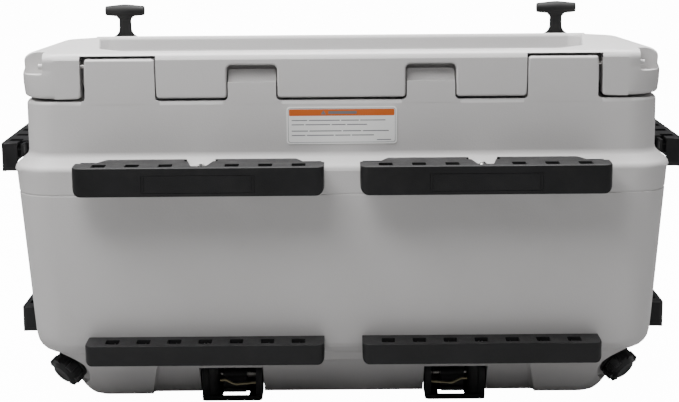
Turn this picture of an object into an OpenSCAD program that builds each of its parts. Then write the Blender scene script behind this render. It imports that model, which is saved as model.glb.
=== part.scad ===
// Insulated deck cooler: double-walled tub, hinged lid with two rubber T-latches,
// slotted tool rails on the front and sides, two screw-out drain caps and a
// four-point quick-attach base. Millimetres, +X right, +Y to the latch side, +Z up.
// The front, with the hinge, faces -Y. Z = 0 is the plane the base brackets stand on.

/* [Tub] */
// Half of the width of the upper walls
upper_half_w = 382; // [360:1:400]
// Front face of the upper walls
front_y = -145; // [-160:1:-130]
// Rear face of the upper walls
rear_y = 185; // [175:1:200]
// How far the lower tub stands out beyond the upper walls
ledge_out = 15; // [8:1:20]
// Height of the ledge's upper edge
ledge_z = 322; // [312:1:330]
// Height of the tub's outer rim, under the lid's skirt
rim_z = 388.5; // [384:0.5:388.5]
// Height of the tub's flat underside
floor_z = 6; // [4:1:8]

/* [Basin] */
// Half of the width of the basin's mouth
basin_half_w = 345; // [320:1:345]
// Front of the basin's mouth
basin_front_y = -76; // [-76:1:-60]
// Rear of the basin's mouth
basin_rear_y = 150; // [140:1:150]
// Height of the basin's floor
basin_floor_z = 72; // [60:1:80]

/* [Lid] */
// Top of the lid at its front band
lid_top_z = 445; // [440:1:448]
// Lower edge of the lid's skirt
skirt_z = 391; // [391:0.5:394]
// How far the lid stands out beyond the upper side walls
lid_out = 4.5; // [1:0.5:6]
// Depth of the tray in the lid's top
tray_depth = 31.5; // [24:0.5:31.5]

/* [Hinge] */
// Hinge axis, distance from the origin plane
hinge_y = -133.5; // [-134:0.5:-133]
// Hinge axis, height
hinge_z = 429; // [428:0.5:430]
// Radius of the hinge rods
rod_r = 3; // [2.5:0.1:3.5]

/* [Latches] */
// Distance of each latch from the middle
latch_x = 300; // [290:1:305]
// Latch pivot, distance from the origin plane
latch_y = 198; // [198:0.5:199]
// Latch pivot, height
latch_z = 428; // [427:0.5:429]

/* [Rails] */
// Length of an upper front rail
rail_len = 294; // [280:1:296]
// Depth of an upper front rail, from its rear edge to its face
rail_depth = 62.5; // [55:0.5:62.5]
// Slots in each lower front rail
low_slots = 7; // [5:1:7]

/* [Hidden] */

$fn = 48;
eps = 0.01;
gap = 0.3;          // clearance between pieces that only touch
liner_t = 3;        // liner skin
corner_r = 40;      // plan radius of the upper walls
liner_top_z = 402;  // top of the liner's flange, where the gasket lands
gutter_r = 42;      // hollow that the lid's tabs turn in
tub_grey = [0.72, 0.71, 0.72];
black = [0.06, 0.06, 0.065];
steel = [0.75, 0.75, 0.74];

// Where the lid and tub interlock along the hinge, one side; the other is mirrored
tooth_x = [222.5, 306];      // tall tub knuckle
notch_x = [78, 135.5];       // low tub tooth behind the lid's finger notch
low_tooth_d = 18;            // its depth
tab_gap = 1.5;               // beside a tab
corner_gap = 5.5;            // outside the tall knuckle, where the hinge rod shows
pocket_x = 246;              // half width of the toe recess under the front
attach_x = 141;              // front quick-attach brackets, from the middle
rear_bracket_x = 150;

// Drain: seat on the lower front corners and the direction it faces
drain_pos = [-340, -98.5, 52];
drain_dir = [-0.58, -0.60, -0.55];
drain_len = 58;          // from the seat to the basin

// ---------- shared shapes ----------
module rect2(x0, x1, y0, y1, r) {
  translate([x0 + r, y0]) square([x1 - x0 - 2 * r, y1 - y0]);
  translate([x0, y0 + r]) square([x1 - x0, y1 - y0 - 2 * r]);
  for (x = [x0 + r, x1 - r], y = [y0 + r, y1 - r]) translate([x, y]) circle(r);
}
module slab(half_w, y0, y1, r, z0, z1) {
  translate([0, 0, z0]) linear_extrude(z1 - z0) rect2(-half_w, half_w, y0, y1, r);
}
// A profile drawn in Y and Z, extruded along X between x0 and x1
module along_x(x0, x1) {
  translate([x0, 0, 0]) rotate([90, 0, 90]) linear_extrude(x1 - x0) children();
}
module box(a, b) { translate(a) cube(b - a); }
module both_sides() { children(); mirror([1, 0, 0]) children(); }
// Turns +Z to point along a direction
module aim(dir) {
  rotate([0, acos(dir.z / norm(dir)), atan2(dir.y, dir.x)]) children();
}
module tube_z(r_out, r_in, h) {
  difference() { cylinder(r = r_out, h = h); translate([0, 0, -1]) cylinder(r = r_in, h = h + 2); }
}

// ---------- tub ----------
ledge_half_w = upper_half_w + ledge_out;
module tub_outer() {
  slab(upper_half_w, front_y, rear_y, corner_r, 290, rim_z);
  // ledge
  hull() {
    slab(upper_half_w, front_y, rear_y, corner_r, ledge_z - 1, ledge_z);
    slab(ledge_half_w, front_y - ledge_out, rear_y + ledge_out, corner_r + 10, 304, 306);
  }
  // lower walls, drawing in towards the bottom
  hull() {
    slab(ledge_half_w, front_y - ledge_out, rear_y + ledge_out, corner_r + 10, 305, 306);
    slab(381, front_y - 5, rear_y + 5, corner_r, 92, 93);
  }
  // rounded lower edge
  hull() {
    slab(381, front_y - 5, rear_y + 5, corner_r, 92, 93);
    slab(366, front_y + 7, rear_y - 7, corner_r - 8, 74, 75);
  }
  // plinth
  hull() {
    slab(366, front_y + 7, rear_y - 7, corner_r - 8, 74, 75);
    slab(325, front_y + 45, rear_y - 35, corner_r - 12, floor_z, floor_z + 1);
  }
}
module gutter(half_w) {
  translate([-half_w, hinge_y, hinge_z]) rotate([0, 90, 0]) cylinder(r = gutter_r, h = 2 * half_w);
}
module knuckle() {
  along_x(tooth_x[0], tooth_x[1]) {
    translate([front_y, 380]) square([23, hinge_z - 380]);
    translate([front_y + 9.5, hinge_z]) circle(9.5);
    translate([front_y + 13.5, hinge_z]) circle(9.5);
    translate([front_y + 9.5, hinge_z]) square([4, 9.5]);
  }
}
// Short tooth, scooped out above its crown up to a thin tongue
module low_tooth() {
  along_x(notch_x[0], notch_x[1]) {
    translate([front_y, 380]) square([low_tooth_d, 25]);
    translate([front_y + 5, 400]) square([low_tooth_d - 5, 10]);
    translate([front_y + 5, 405]) circle(5);
    difference() {
      translate([front_y + 5, 405]) square([low_tooth_d - 5, 18.5]);
      translate([front_y + 2.7, 424]) circle(14);
    }
  }
}
module drain_axis() { translate(drain_pos) aim(drain_dir) children(); }
module shell_cavity(shrink) difference() {
  union() {
    slab(376 - shrink, -139 + shrink, 179 - shrink, 34, 280, 383 - shrink);
    slab(361 - shrink, -86 + shrink, 166 - shrink, 26, 380, 400);
    // behind the lower walls
    hull() {
      slab(385 - shrink, -148 + shrink, 188 - shrink, 42, 286, 287 - shrink);
      slab(368 - shrink, -136 + shrink, 176 - shrink, 34, 96, 97);
    }
    // down into the plinth
    hull() {
      slab(367 - shrink, -135 + shrink, 175 - shrink, 34, 98, 99);
      slab(318 - shrink, -66 + shrink, 140 - shrink, 24, 14 + shrink, 15 + shrink);
    }
  }
  // solid bosses over the front brackets
  for (s = [-1, 1]) box([s * attach_x - 46 - shrink, -220, -1], [s * attach_x + 46 + shrink, -41 + shrink, 63 + shrink]);
}
module basin(grow, top) {
  hull() {
    slab(basin_half_w + grow, basin_front_y - grow, basin_rear_y + grow, 24 + grow, top - 1, top);
    slab(basin_half_w - 14 + grow, basin_front_y + 13 - grow, basin_rear_y - 13 + grow, 20 + grow,
         basin_floor_z - grow, basin_floor_z + 1);
  }
}
module tub_shell() color(tub_grey) difference() {
  union() {
    tub_outer();
    difference() {
      union() {
        // rim behind the lid's skirt, with the scooped front
        slab(366, -97, 171, 28, rim_z - 1, liner_top_z - liner_t);
        box([-366, front_y + 1, rim_z - 1], [366, -70, liner_top_z - liner_t]);
      }
      gutter(400);
    }
    both_sides() { knuckle(); low_tooth(); }
    screw_pads();
  }
  // hinge hollow, around the knuckles and low teeth
  difference() {
    gutter(400);
    both_sides() {
      box([tooth_x[0], front_y - 1, 370], [tooth_x[1], front_y + 23, 460]);
      box([notch_x[0], front_y - 1, 370], [notch_x[1], front_y + low_tooth_d, 460]);
    }
    box([-500, hinge_y - 60, hinge_z + 30], [500, hinge_y + 60, hinge_z + 60]);
  }
  shell_cavity(0);
  // toe recess between the plinth's corners
  along_x(-pocket_x, pocket_x)
    polygon([[-220, -5], [-220, 60], [-123, 60], [-78, floor_z], [-78, -5]]);
  // seats of the front brackets
  for (s = [-1, 1]) at_attach(s) translate([-40, -50, -5]) cube([80, 72, 5 + seat_z]);
  both_sides() {
    // hinge bores
    translate([tooth_x[0] - 1, hinge_y, hinge_z]) rotate([0, 90, 0]) cylinder(r = 5, h = 90);
    // drain seat and passage
    drain_axis() {
      cylinder(r = 30, h = 70);
      translate([0, 0, -70]) cylinder(r = 13.2, h = 80);
      translate([0, 0, -70]) cylinder(r = 22.5, h = 50);
    }
  }
  rail_screw_places() translate([0, 0, -16.5]) cylinder(r = 4, h = 20);
  keeper_screw_places() translate([0, 0, -5.6]) cylinder(r = 2.45, h = 7);
  bolt_places() translate([0, 0, -1]) cylinder(r = 3.1, h = 8.5);
  for (s = [-1, 1]) at_attach(s) attach_bolt_places() translate([0, 0, seat_z - 1]) cylinder(r = 3.1, h = 13);
}
module tub_liner() color([0.85, 0.85, 0.85]) difference() {
  union() {
    slab(364, -96, 169, 26, liner_top_z - liner_t, liner_top_z);
    basin(liner_t, liner_top_z - 1);
  }
  basin(0, liner_top_z + 1);
  both_sides() drain_axis() translate([0, 0, -80]) cylinder(r = 13.2, h = 60);
}
module tub_foam() color([0.93, 0.88, 0.70]) difference() {
  intersection() {
    shell_cavity(gap);
    hull() box([-400, -200, 0], [400, 300, liner_top_z - liner_t - gap]);
  }
  basin(liner_t + gap, liner_top_z - 1);
  both_sides() drain_axis() {
    hull() translate([0, 0, -80]) cylinder(r = 13.2, h = 80);
    hull() translate([0, 0, -32]) cylinder(r = 24, h = 32);
  }
}
module caution_label() color([0.9, 0.9, 0.9])
  box([-66, front_y - 0.8, 335], [66, front_y, 380]);

// ---------- rails ----------
// Every rail is drawn with its rear edge on Y = 0, reaching to -Y, centred on X = 0, its top on Z = 0.
module slot_row(n, pitch, w, y0, y1, skip_middle) {
  for (i = [0 : n - 1])
    if (!(skip_middle && i == (n - 1) / 2))
      translate([(i - (n - 1) / 2) * pitch - w / 2, y0, -60]) cube([w, y1 - y0, 120]);
}
// Open-backed tray: its ends are cut back at the rear by cut[0] along and cut[1] deep
module rail_tray(len, depth, h, end_r, cut) {
  t = 4;
  half = len / 2;
  difference() {
    translate([0, 0, -h]) linear_extrude(h) {
      polygon([[-half, -cut[1]], [-half, -depth + end_r], [half, -depth + end_r], [half, -cut[1]],
               [half - cut[0] + 11, -cut[1]], [half - cut[0], 0],
               [cut[0] - half, 0], [cut[0] - 11 - half, -cut[1]]]);
      translate([-half + end_r, -depth]) square([len - 2 * end_r, end_r + eps]);
      for (x = [-half + end_r, half - end_r]) translate([x, -depth + end_r]) circle(end_r);
    }
    translate([-half + t, -depth + t, -h - 1]) cube([len - 2 * t, depth + 10, h + 1 - t]);
  }
}
slot_pitch = 39;
low_pitch = 37.5;
side_pitch = 44;
slot_w = 16.5;
flange_t = 4;
upper_rail_pos = [168, -152.5, 319];
upper_flange_y = -12;    // outer face of the screw flange, from the rail's rear edge
upper_screw_z = -11;
module upper_front_rail() color(black) difference() {
  union() {
    rail_tray(rail_len, rail_depth, 34, 10, [34, 27]);
    translate([-rail_len / 2 + 3, upper_flange_y, -32]) cube([rail_len - 6, flange_t, 30]);
  }
  // V-shaped notch over the middle screw
  translate([0, 0, -5]) linear_extrude(10) polygon([[-17.5, 1], [-8.5, -52], [8.5, -52], [17.5, 1]]);
  slot_row(7, slot_pitch, slot_w, -55, -36.5, true);
  for (x = upper_screw_x) translate([x, upper_flange_y + 9, upper_screw_z]) rotate([90, 0, 0]) cylinder(r = 2.7, h = 12);
  // seat of the snap-in panel
  translate([-66, -rail_depth - 1, -30]) cube([132, 2.2, 21]);
}
module lower_front_rail() color(black) difference() {
  union() {
    rail_tray(288, 40, 25, 8, [20, 0]);
    translate([-144, -flange_t, -25]) cube([288, flange_t, 24]);
  }
  slot_row(low_slots, low_pitch, slot_w, -31, -13, false);
  for (x = lower_screw_x) translate([x, 1, lower_screw_z]) rotate([90, 0, 0]) cylinder(r = 2.7, h = 10);
}
side_len = 190;
upper_screw_x = [-108, 0, 108];
lower_screw_x = [-94, 0, 94];
side_screw_x = [-70, 70];
lower_screw_z = -13;
side_screw_z = -25;
// Side rail: the upper one reaches in over the ledge, so its flange hangs at flange_y
module side_rail(depth, h, cut, flange_y) color(black) difference() {
  union() {
    rail_tray(side_len, depth, h, 8, cut);
    translate([-side_len / 2 + 3, flange_y, -h]) cube([side_len - 6, flange_t, h - 16]);
    translate([-side_len / 2 + 3, flange_y - 3, -18]) cube([side_len - 6, 3.5, 16]);
  }
  slot_row(4, side_pitch, slot_w, -depth + 7, flange_y - 5, false);
  for (x = side_screw_x) translate([x, flange_y + 9, side_screw_z]) rotate([90, 0, 0]) cylinder(r = 2.7, h = 20);
}
module upper_side_rail() side_rail(46, 37, [33, 25], upper_side_flange);
module lower_side_rail() side_rail(29.5, 34, [20, 0], lower_side_flange);
lower_rail_pos = [167, -150.6, 98.5];
upper_side_pos = [-385, 50, 323];
lower_side_pos = [-384, 50, 110];
upper_side_flange = -17.6;
lower_side_flange = -4;
module at_upper_rail(side) translate([side * upper_rail_pos.x, upper_rail_pos.y, upper_rail_pos.z]) children();
module at_lower_rail(side) translate([side * lower_rail_pos.x, lower_rail_pos.y, lower_rail_pos.z]) children();
module at_side(pos, side) mirror([side > 0 ? 1 : 0, 0, 0]) translate(pos) rotate([0, 0, -90]) children();

// Screw places: origin on the rail flange's outer face, +Z pointing out of the tub
module rail_screw_places() {
  for (s = [-1, 1]) {
    at_upper_rail(s) for (x = upper_screw_x) translate([x, upper_flange_y, upper_screw_z]) rotate([90, 0, 0]) children();
    at_lower_rail(s) for (x = lower_screw_x) translate([x, -flange_t, lower_screw_z]) rotate([90, 0, 0]) children();
    at_side(upper_side_pos, s)
      for (x = side_screw_x) translate([x, upper_side_flange, side_screw_z]) rotate([90, 0, 0]) children();
    at_side(lower_side_pos, s)
      for (x = side_screw_x) translate([x, lower_side_flange, side_screw_z]) rotate([90, 0, 0]) children();
  }
}
// Pads on the tub's wall that the rail flanges bear on
module screw_pads() rail_screw_places() translate([0, 0, -17]) cylinder(r = 6.4, h = 17 - flange_t);
module rail_screws() color(steel) rail_screw_places() {
  translate([0, 0, -15]) cylinder(r = 2.4, h = 15);
  cylinder(r = 6.5, h = 3);
}
module rail_inserts() color([0.8, 0.65, 0.3]) rail_screw_places() translate([0, 0, -16.4]) tube_z(4, 2.5, 12);
module rail_panel() color([0.09, 0.09, 0.095])
  translate([-65.7, -rail_depth + 0.1, -29.7]) cube([131.4, 1.1, 20.4]);

// ---------- hinge ----------
module on_hinge(x) translate([x, hinge_y, hinge_z]) rotate([0, 90, 0]) children();
module hinge_bushes() color([0.9, 0.9, 0.88]) both_sides()
  for (x = [tooth_x[0], tooth_x[1] - 14]) on_hinge(x) tube_z(5, rod_r + 0.05, 14);
module hinge_rod() color(steel) on_hinge(tooth_x[0] - 22) cylinder(r = rod_r, h = tooth_x[1] - tooth_x[0] + 46);

// ---------- lid ----------
module lid_shell() color(tub_grey) difference() {
  union() {
    slab(upper_half_w + lid_out, front_y, rear_y, corner_r + lid_out, skirt_z, lid_top_z);
  }
  // top falls a little to the rear
  along_x(-500, 500) polygon([[-90, lid_top_z], [rear_y + 20, lid_top_z - 8.5], [rear_y + 20, 480], [-90, 480]]);
  // tray in the top, open-cornered
  translate([0, 0, lid_top_z - tray_depth]) linear_extrude(60)
    polygon([[-262, -112], [262, -112], [296, -70], [328, 150], [318, 165], [-318, 165], [-328, 150], [-296, -70]]);
  // hollow under the lid, clear of the tub's rim
  slab(368.5, -124, 173.5, 28, skirt_z - 1, 405);
  box([-368.5, -124, skirt_z - 1], [368.5, -60, 405]);
  slab(365.3, -92.3, 170.3, 26.3, 404, 408.3);
  slab(334.3, -64.3, 138.3, 16.3, 404, 409.3);
  both_sides() {
    // room for the tall knuckle, leaving a lip over its crown
    box([tooth_x[0] - tab_gap, front_y - 1, skirt_z - 1], [tooth_x[1] + corner_gap, front_y + 25, hinge_z + 12.9]);
    // finger notch
    box([notch_x[0] - tab_gap, front_y - 1, skirt_z - 1], [notch_x[1] + tab_gap, -125, hinge_z + 1.4]);
    box([notch_x[0] - tab_gap, front_y - 1, skirt_z - 1], [notch_x[1] + tab_gap, -120, 405]);
    // rear skirt is cut away over the latch keepers
    box([latch_x - 36, 160, skirt_z - 1], [latch_x + 36, rear_y + 1, 413]);
    // side groove, open at the front
    box([upper_half_w - 26, front_y - 1, 419.5], [upper_half_w + lid_out + 1, front_y + 26, 460]);
    // hinge rod bores
    on_hinge(tooth_x[0] - 24) cylinder(r = rod_r + 0.05, h = tooth_x[1] - tooth_x[0] + 50);
    for (x = [-17, 17]) translate([latch_x + x, rear_y + 1, 424]) rotate([90, 0, 0]) cylinder(r = 2.1, h = 14);
  }
}
module lid_liner() color([0.85, 0.85, 0.85]) difference() {
  union() {
    slab(365, -92, 170, 26, 405, 408);
    slab(337, -67, 141, 19, 380, 406);
  }
  slab(334, -64, 138, 16, 383, 409);
}
module lid_foam() color([0.93, 0.88, 0.70]) slab(333.7, -63.7, 137.7, 15.7, 383.3, 409);
module lid_gasket() color(black) difference() {
  slab(361, -91, 166, 24, liner_top_z + gap, 405);
  slab(350, -80, 155, 22, liner_top_z, 406);
}
module lid_mat() color(black)
  translate([0, 0, lid_top_z - tray_depth]) linear_extrude(3)
    polygon([[-258, -108], [258, -108], [290, -68], [321, 148], [314, 161], [-314, 161], [-321, 148], [-290, -68]]);

// ---------- latches ----------
module on_latch(s) translate([s * latch_x, latch_y, latch_z]) children();
module latch_mount() color(black) difference() {
  union() {
    translate([-26, rear_y - latch_y, -11]) cube([52, 4, 18]);
    for (x = [-26, 21]) translate([x, 0, 0]) {
      translate([0, rear_y - latch_y, -7]) cube([5, latch_y - rear_y, 14]);
      rotate([0, 90, 0]) cylinder(r = 7, h = 5);
    }
  }
  translate([-30, 0, 0]) rotate([0, 90, 0]) cylinder(r = 2.05, h = 60);
  for (x = [-17, 17]) translate([x, 0, -4]) rotate([90, 0, 0]) cylinder(r = 2.2, h = 30);
}
module latch_pin() color(steel) translate([-26, 0, 0]) rotate([0, 90, 0]) cylinder(r = 2, h = 52);
module latch_mount_screws() color(steel) for (s = [-1, 1], x = [-17, 17])
  on_latch(s) translate([x, rear_y - latch_y + 4, -4]) rotate([-90, 0, 0]) {
    translate([0, 0, -14]) cylinder(r = 2, h = 14);
    cylinder(r = 3.8, h = 2.2);
  }
bar_z = 43; // middle of the T bar above the pivot
module latch() color(black) difference() {
  union() {
    translate([-20.5, 0, 0]) rotate([0, 90, 0]) cylinder(r = 5.6, h = 41);
    // flare from barrel to stem
    translate([0, 3.5, 0]) rotate([90, 0, 0]) linear_extrude(7)
      polygon([[-20.5, 0], [20.5, 0], [20.5, 5], [13, 9], [8.5, 14], [8, 38], [-8, 38], [-8.5, 14], [-13, 9], [-20.5, 5]]);
    // T bar, barrel shaped
    translate([0, 0, bar_z]) rotate([0, 90, 0]) {
      cylinder(r1 = 9, r2 = 6.5, h = 27.5);
      rotate([180, 0, 0]) cylinder(r1 = 9, r2 = 6.5, h = 27.5);
    }
  }
  translate([-30, 0, 0]) rotate([0, 90, 0]) cylinder(r = 2.06, h = 60);
}
keeper_t = 3.5;
keeper_screw_z = 366;
// Forked keeper on the tub's rear wall: the stem drops between its prongs and the bar hooks under them
module latch_keeper() color(black) difference() {
  union() {
    translate([-26, rear_y, 358]) cube([52, keeper_t, 51]);
    for (x = [-24, 10]) translate([x, rear_y, 400.5]) cube([14, 30, 8]);
  }
  for (x = [-15, 15]) translate([x, rear_y + 5, keeper_screw_z]) rotate([90, 0, 0]) cylinder(r = 2.7, h = 10);
}
module keeper_screw_places() for (s = [-1, 1], x = [-15, 15])
  translate([s * latch_x + x, rear_y, keeper_screw_z]) rotate([-90, 0, 0]) children();
module keeper_screws() color(steel) keeper_screw_places() {
  translate([0, 0, -5.5]) cylinder(r = 2.4, h = 5.5 + keeper_t);
  translate([0, 0, keeper_t]) cylinder(r = 4.5, h = 2.4);
}

// ---------- drains ----------
// Spout is drawn along +Z with its flange on Z = 0, the tub's seat
module drain_spout() color(black) difference() {
  union() {
    cylinder(r = 21.5, h = 4);
    cylinder(r = 15, h = 18);
    translate([0, 0, -drain_len]) cylinder(r = 13, h = drain_len + 1);
  }
  translate([0, 0, -70]) cylinder(r = 10, h = 100);
}
module drain_nut() color(black) difference() {
  translate([0, 0, -30]) cylinder(r = 21, h = 9, $fn = 8);
  translate([0, 0, -31]) cylinder(r = 13.05, h = 11);
}
module drain_washer() color([0.15, 0.15, 0.15]) translate([0, 0, 4.2]) tube_z(18, 15.3, 2.5);
module drain_cap() color(black) {
  difference() {
    union() {
      translate([0, 0, 6.8]) cylinder(r = 20, h = 10);
      translate([0, 0, 16.8]) cylinder(r1 = 20, r2 = 12.5, h = 6);
      for (a = [0 : 60 : 300]) rotate(a) translate([17.5, -4.5, 6.8]) cube([5.7, 9, 12]);
    }
    translate([0, 0, 6]) cylinder(r = 15.4, h = 12.6);
  }
}

// ---------- base ----------
// Quick-attach bracket, drawn about the middle of its foot, opening to -Y
seat_z = 47;             // top of the bracket, under the tub
pivot = [-12, 30];       // pawl's pivot, in Y and Z
module on_pivot(x) translate([x, pivot[0], pivot[1]]) rotate([0, 90, 0]) children();
module attach_bracket() color(black) difference() {
  union() {
    translate([-38, -32, 0]) cube([76, 48, 6]);
    for (x = [-38, 30]) translate([x, -28, 5]) cube([8, 44, seat_z - 5]);
    translate([-38, -22, seat_z - 5]) cube([76, 38, 5]);
    translate([-38, 10, 5]) cube([76, 6, seat_z - 6]);
    translate([-26, -16, 5]) cylinder(r = 11, h = seat_z - 9);
  }
  on_pivot(-50) cylinder(r = 3.05, h = 100);
  // the deck's striker comes up through the foot
  translate([-13, -26, -1]) cube([34, 34, 8]);
  attach_bolt_places() translate([0, 0, seat_z - 8]) cylinder(r = 3.1, h = 12);
}
module attach_bolt_places() for (x = [-12, 22]) translate([x, 1, 0]) children();
module attach_pin() color(steel) on_pivot(-38) cylinder(r = 3, h = 76);
module attach_pawl() color([0.16, 0.16, 0.17]) difference() {
  union() {
    on_pivot(-12) cylinder(r = 7, h = 30);
    translate([-12, -18, 11]) cube([30, 7, 20]);
    translate([-12, -23, 8]) cube([30, 12, 6]);
  }
  on_pivot(-20) cylinder(r = 3.06, h = 60);
}
module pawl_spring() color(steel) on_pivot(18.6) tube_z(5.2, 3.4, 10);
// Bent leaf across the mouth, which takes up play on the striker
module attach_leaf() color([0.72, 0.62, 0.42]) translate([0, -24.5, 0]) rotate([90, 0, 0]) linear_extrude(5)
  polygon([[-15.2, 27], [-8, 27.4], [4, 21.4], [30, 23.4], [30, 21.6], [4, 19.4], [-8.4, 25.5], [-15.2, 25.2]]);
foot_t = floor_z;
module rear_bracket() color(black) difference() {
  translate([-38, -24, 0]) cube([76, 48, foot_t]);
  for (x = rear_bolt_x) translate([x, 0, -1]) {
    cylinder(r = 3.1, h = 20);
    cylinder(r = 6.2, h = 5);
  }
}
rear_bolt_x = [-22, 22];
attach_pos = [attach_x, -69, 0];
rear_pos = [rear_bracket_x, 110, 0];
module at_attach(s) translate([s * attach_pos.x, attach_pos.y, attach_pos.z]) mirror([s > 0 ? 1 : 0, 0, 0]) children();
module bolt_places() for (s = [-1, 1], x = rear_bolt_x) translate([s * rear_pos.x + x, rear_pos.y, floor_z]) children();
module bolt() {
  cylinder(r = 3, h = 9.5);
  translate([0, 0, -3.5]) cylinder(r = 5.8, h = 3.5);
}
module bracket_bolts() color(steel) {
  bolt_places() translate([0, 0, 4 - floor_z]) bolt();
  for (s = [-1, 1]) at_attach(s) attach_bolt_places() translate([0, 0, seat_z - 5]) { bolt(); cylinder(r = 3, h = 16); }
}

tub_shell();
tub_liner();
tub_foam();
caution_label();
at_upper_rail(-1) upper_front_rail();  // left_upper_front_rail
at_upper_rail(1) upper_front_rail();  // right_upper_front_rail
at_lower_rail(-1) lower_front_rail();  // left_lower_front_rail
at_lower_rail(1) lower_front_rail();  // right_lower_front_rail
at_upper_rail(-1) rail_panel();  // left_rail_panel
at_upper_rail(1) rail_panel();  // right_rail_panel
at_side(upper_side_pos, -1) upper_side_rail();  // left_upper_side_rail
at_side(upper_side_pos, 1) upper_side_rail();  // right_upper_side_rail
at_side(lower_side_pos, -1) lower_side_rail();  // left_lower_side_rail
at_side(lower_side_pos, 1) lower_side_rail();  // right_lower_side_rail
rail_screws();
rail_inserts();
hinge_bushes();
mirror([1, 0, 0]) hinge_rod();  // left_hinge_rod
hinge_rod();  // right_hinge_rod
translate([-latch_x, 0, 0]) latch_keeper();  // left_latch_keeper
translate([latch_x, 0, 0]) latch_keeper();  // right_latch_keeper
keeper_screws();
drain_axis() drain_spout();  // left_drain_spout
mirror([1, 0, 0]) drain_axis() drain_spout();  // right_drain_spout
drain_axis() drain_nut();  // left_drain_nut
mirror([1, 0, 0]) drain_axis() drain_nut();  // right_drain_nut
drain_axis() drain_washer();  // left_drain_washer
mirror([1, 0, 0]) drain_axis() drain_washer();  // right_drain_washer
drain_axis() drain_cap();  // left_drain_cap
mirror([1, 0, 0]) drain_axis() drain_cap();  // right_drain_cap
at_attach(-1) attach_bracket();  // left_attach_bracket
at_attach(1) attach_bracket();  // right_attach_bracket
at_attach(-1) attach_pin();  // left_attach_pin
at_attach(1) attach_pin();  // right_attach_pin
at_attach(-1) attach_pawl();  // left_attach_pawl
at_attach(1) attach_pawl();  // right_attach_pawl
at_attach(-1) pawl_spring();  // left_pawl_spring
at_attach(1) pawl_spring();  // right_pawl_spring
at_attach(-1) attach_leaf();  // left_attach_leaf
at_attach(1) attach_leaf();  // right_attach_leaf
translate([-rear_pos.x, rear_pos.y, 0]) rear_bracket();  // left_rear_bracket
translate([rear_pos.x, rear_pos.y, 0]) rear_bracket();  // right_rear_bracket
bracket_bolts();
lid_shell();
lid_liner();
lid_foam();
lid_gasket();
lid_mat();
on_latch(-1) latch_mount();  // left_latch_mount
on_latch(1) latch_mount();  // right_latch_mount
latch_mount_screws();
on_latch(-1) latch_pin();  // left_latch_pin
on_latch(1) latch_pin();  // right_latch_pin
on_latch(-1) latch();  // left_latch
on_latch(1) latch();  // right_latch
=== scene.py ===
# %% [markdown]
# # A deck cooler, rebuilt around its CAD frame
# This lesson dresses an insulated deck cooler: a rotomoulded tub and lid in warm grey plastic,
# slotted black tool rails, two rubber T-latches, lugged drain caps and a quick-attach base.
# The CAD model gives every size and every joint. Here each visible piece is modelled again with
# softer edges and finer detail, in the same place, and it rides on the CAD body it belongs to.

# %% Load the frame
import math

import bmesh
import bpy
from mathutils import Matrix, Vector


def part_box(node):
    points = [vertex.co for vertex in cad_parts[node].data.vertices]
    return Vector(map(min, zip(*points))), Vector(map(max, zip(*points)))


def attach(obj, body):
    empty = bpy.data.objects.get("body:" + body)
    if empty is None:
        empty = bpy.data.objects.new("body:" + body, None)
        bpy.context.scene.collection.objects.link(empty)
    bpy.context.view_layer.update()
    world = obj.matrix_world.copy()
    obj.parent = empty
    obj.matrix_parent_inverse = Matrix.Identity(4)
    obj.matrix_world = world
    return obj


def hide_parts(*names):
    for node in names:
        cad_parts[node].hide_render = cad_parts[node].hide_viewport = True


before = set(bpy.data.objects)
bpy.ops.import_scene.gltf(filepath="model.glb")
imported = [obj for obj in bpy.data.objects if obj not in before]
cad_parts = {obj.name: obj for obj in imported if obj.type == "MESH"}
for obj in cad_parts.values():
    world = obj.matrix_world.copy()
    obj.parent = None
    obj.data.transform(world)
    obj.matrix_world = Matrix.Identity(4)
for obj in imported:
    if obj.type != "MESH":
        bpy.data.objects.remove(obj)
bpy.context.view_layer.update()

# %% [markdown]
# ## Working in millimetres
# Moulders think in millimetres, and Blender works in metres. Each piece is drawn in millimetres
# and scaled once, when it is finished. The CAD boxes come back in millimetres too, so a size that
# the frame already knows is read from it and never typed twice.

# %% Sizes read from the frame
MM = 0.001


def span(node):
    low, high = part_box(node)
    return low / MM, high / MM


lid_low, lid_high = span("lid_shell")
tub_low, tub_high = span("tub_shell")
liner_low, liner_high = span("tub_liner")
front_y = lid_low.y
rear_y = lid_high.y
wall_half = lid_high.x - 4.5      # half width of the upper walls, inside the skirt
skirt_z = lid_low.z
lid_top = lid_high.z
ledge_half = tub_high.x
floor_z = tub_low.z
liner_top = liner_high.z
rod_low, rod_high = span("right_hinge_rod")
hinge = (rod_low + rod_high) / 2
latch_pin_low, latch_pin_high = span("right_latch_pin")
latch_pivot = (latch_pin_low + latch_pin_high) / 2
gutter_r = 42                      # hollow that the lid's tabs turn in
tall_tooth = (222.5, 306)          # hinge knuckle of the tub, from the middle
low_tooth = (78, 135.5)            # short tub tooth under each finger notch
tab_gap = 1.5
corner_gap = 5.5
rim_z = 388.5
print("tub", [round(v) for v in tub_high - tub_low], "lid", [round(v) for v in lid_high - lid_low])

# %% [markdown]
# ## The camera, the floor and the light
# The cooler is seen square on from its hinge side, a little from above, with a long lens. The
# camera leans by less than half a degree. The set is a pale floor, a soft box close and high on the
# left, a wide one overhead, a weak one on the right and a faint even sky. The floor glows for the
# camera only: it looks white, and it doesn't light the cooler from below.

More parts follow.
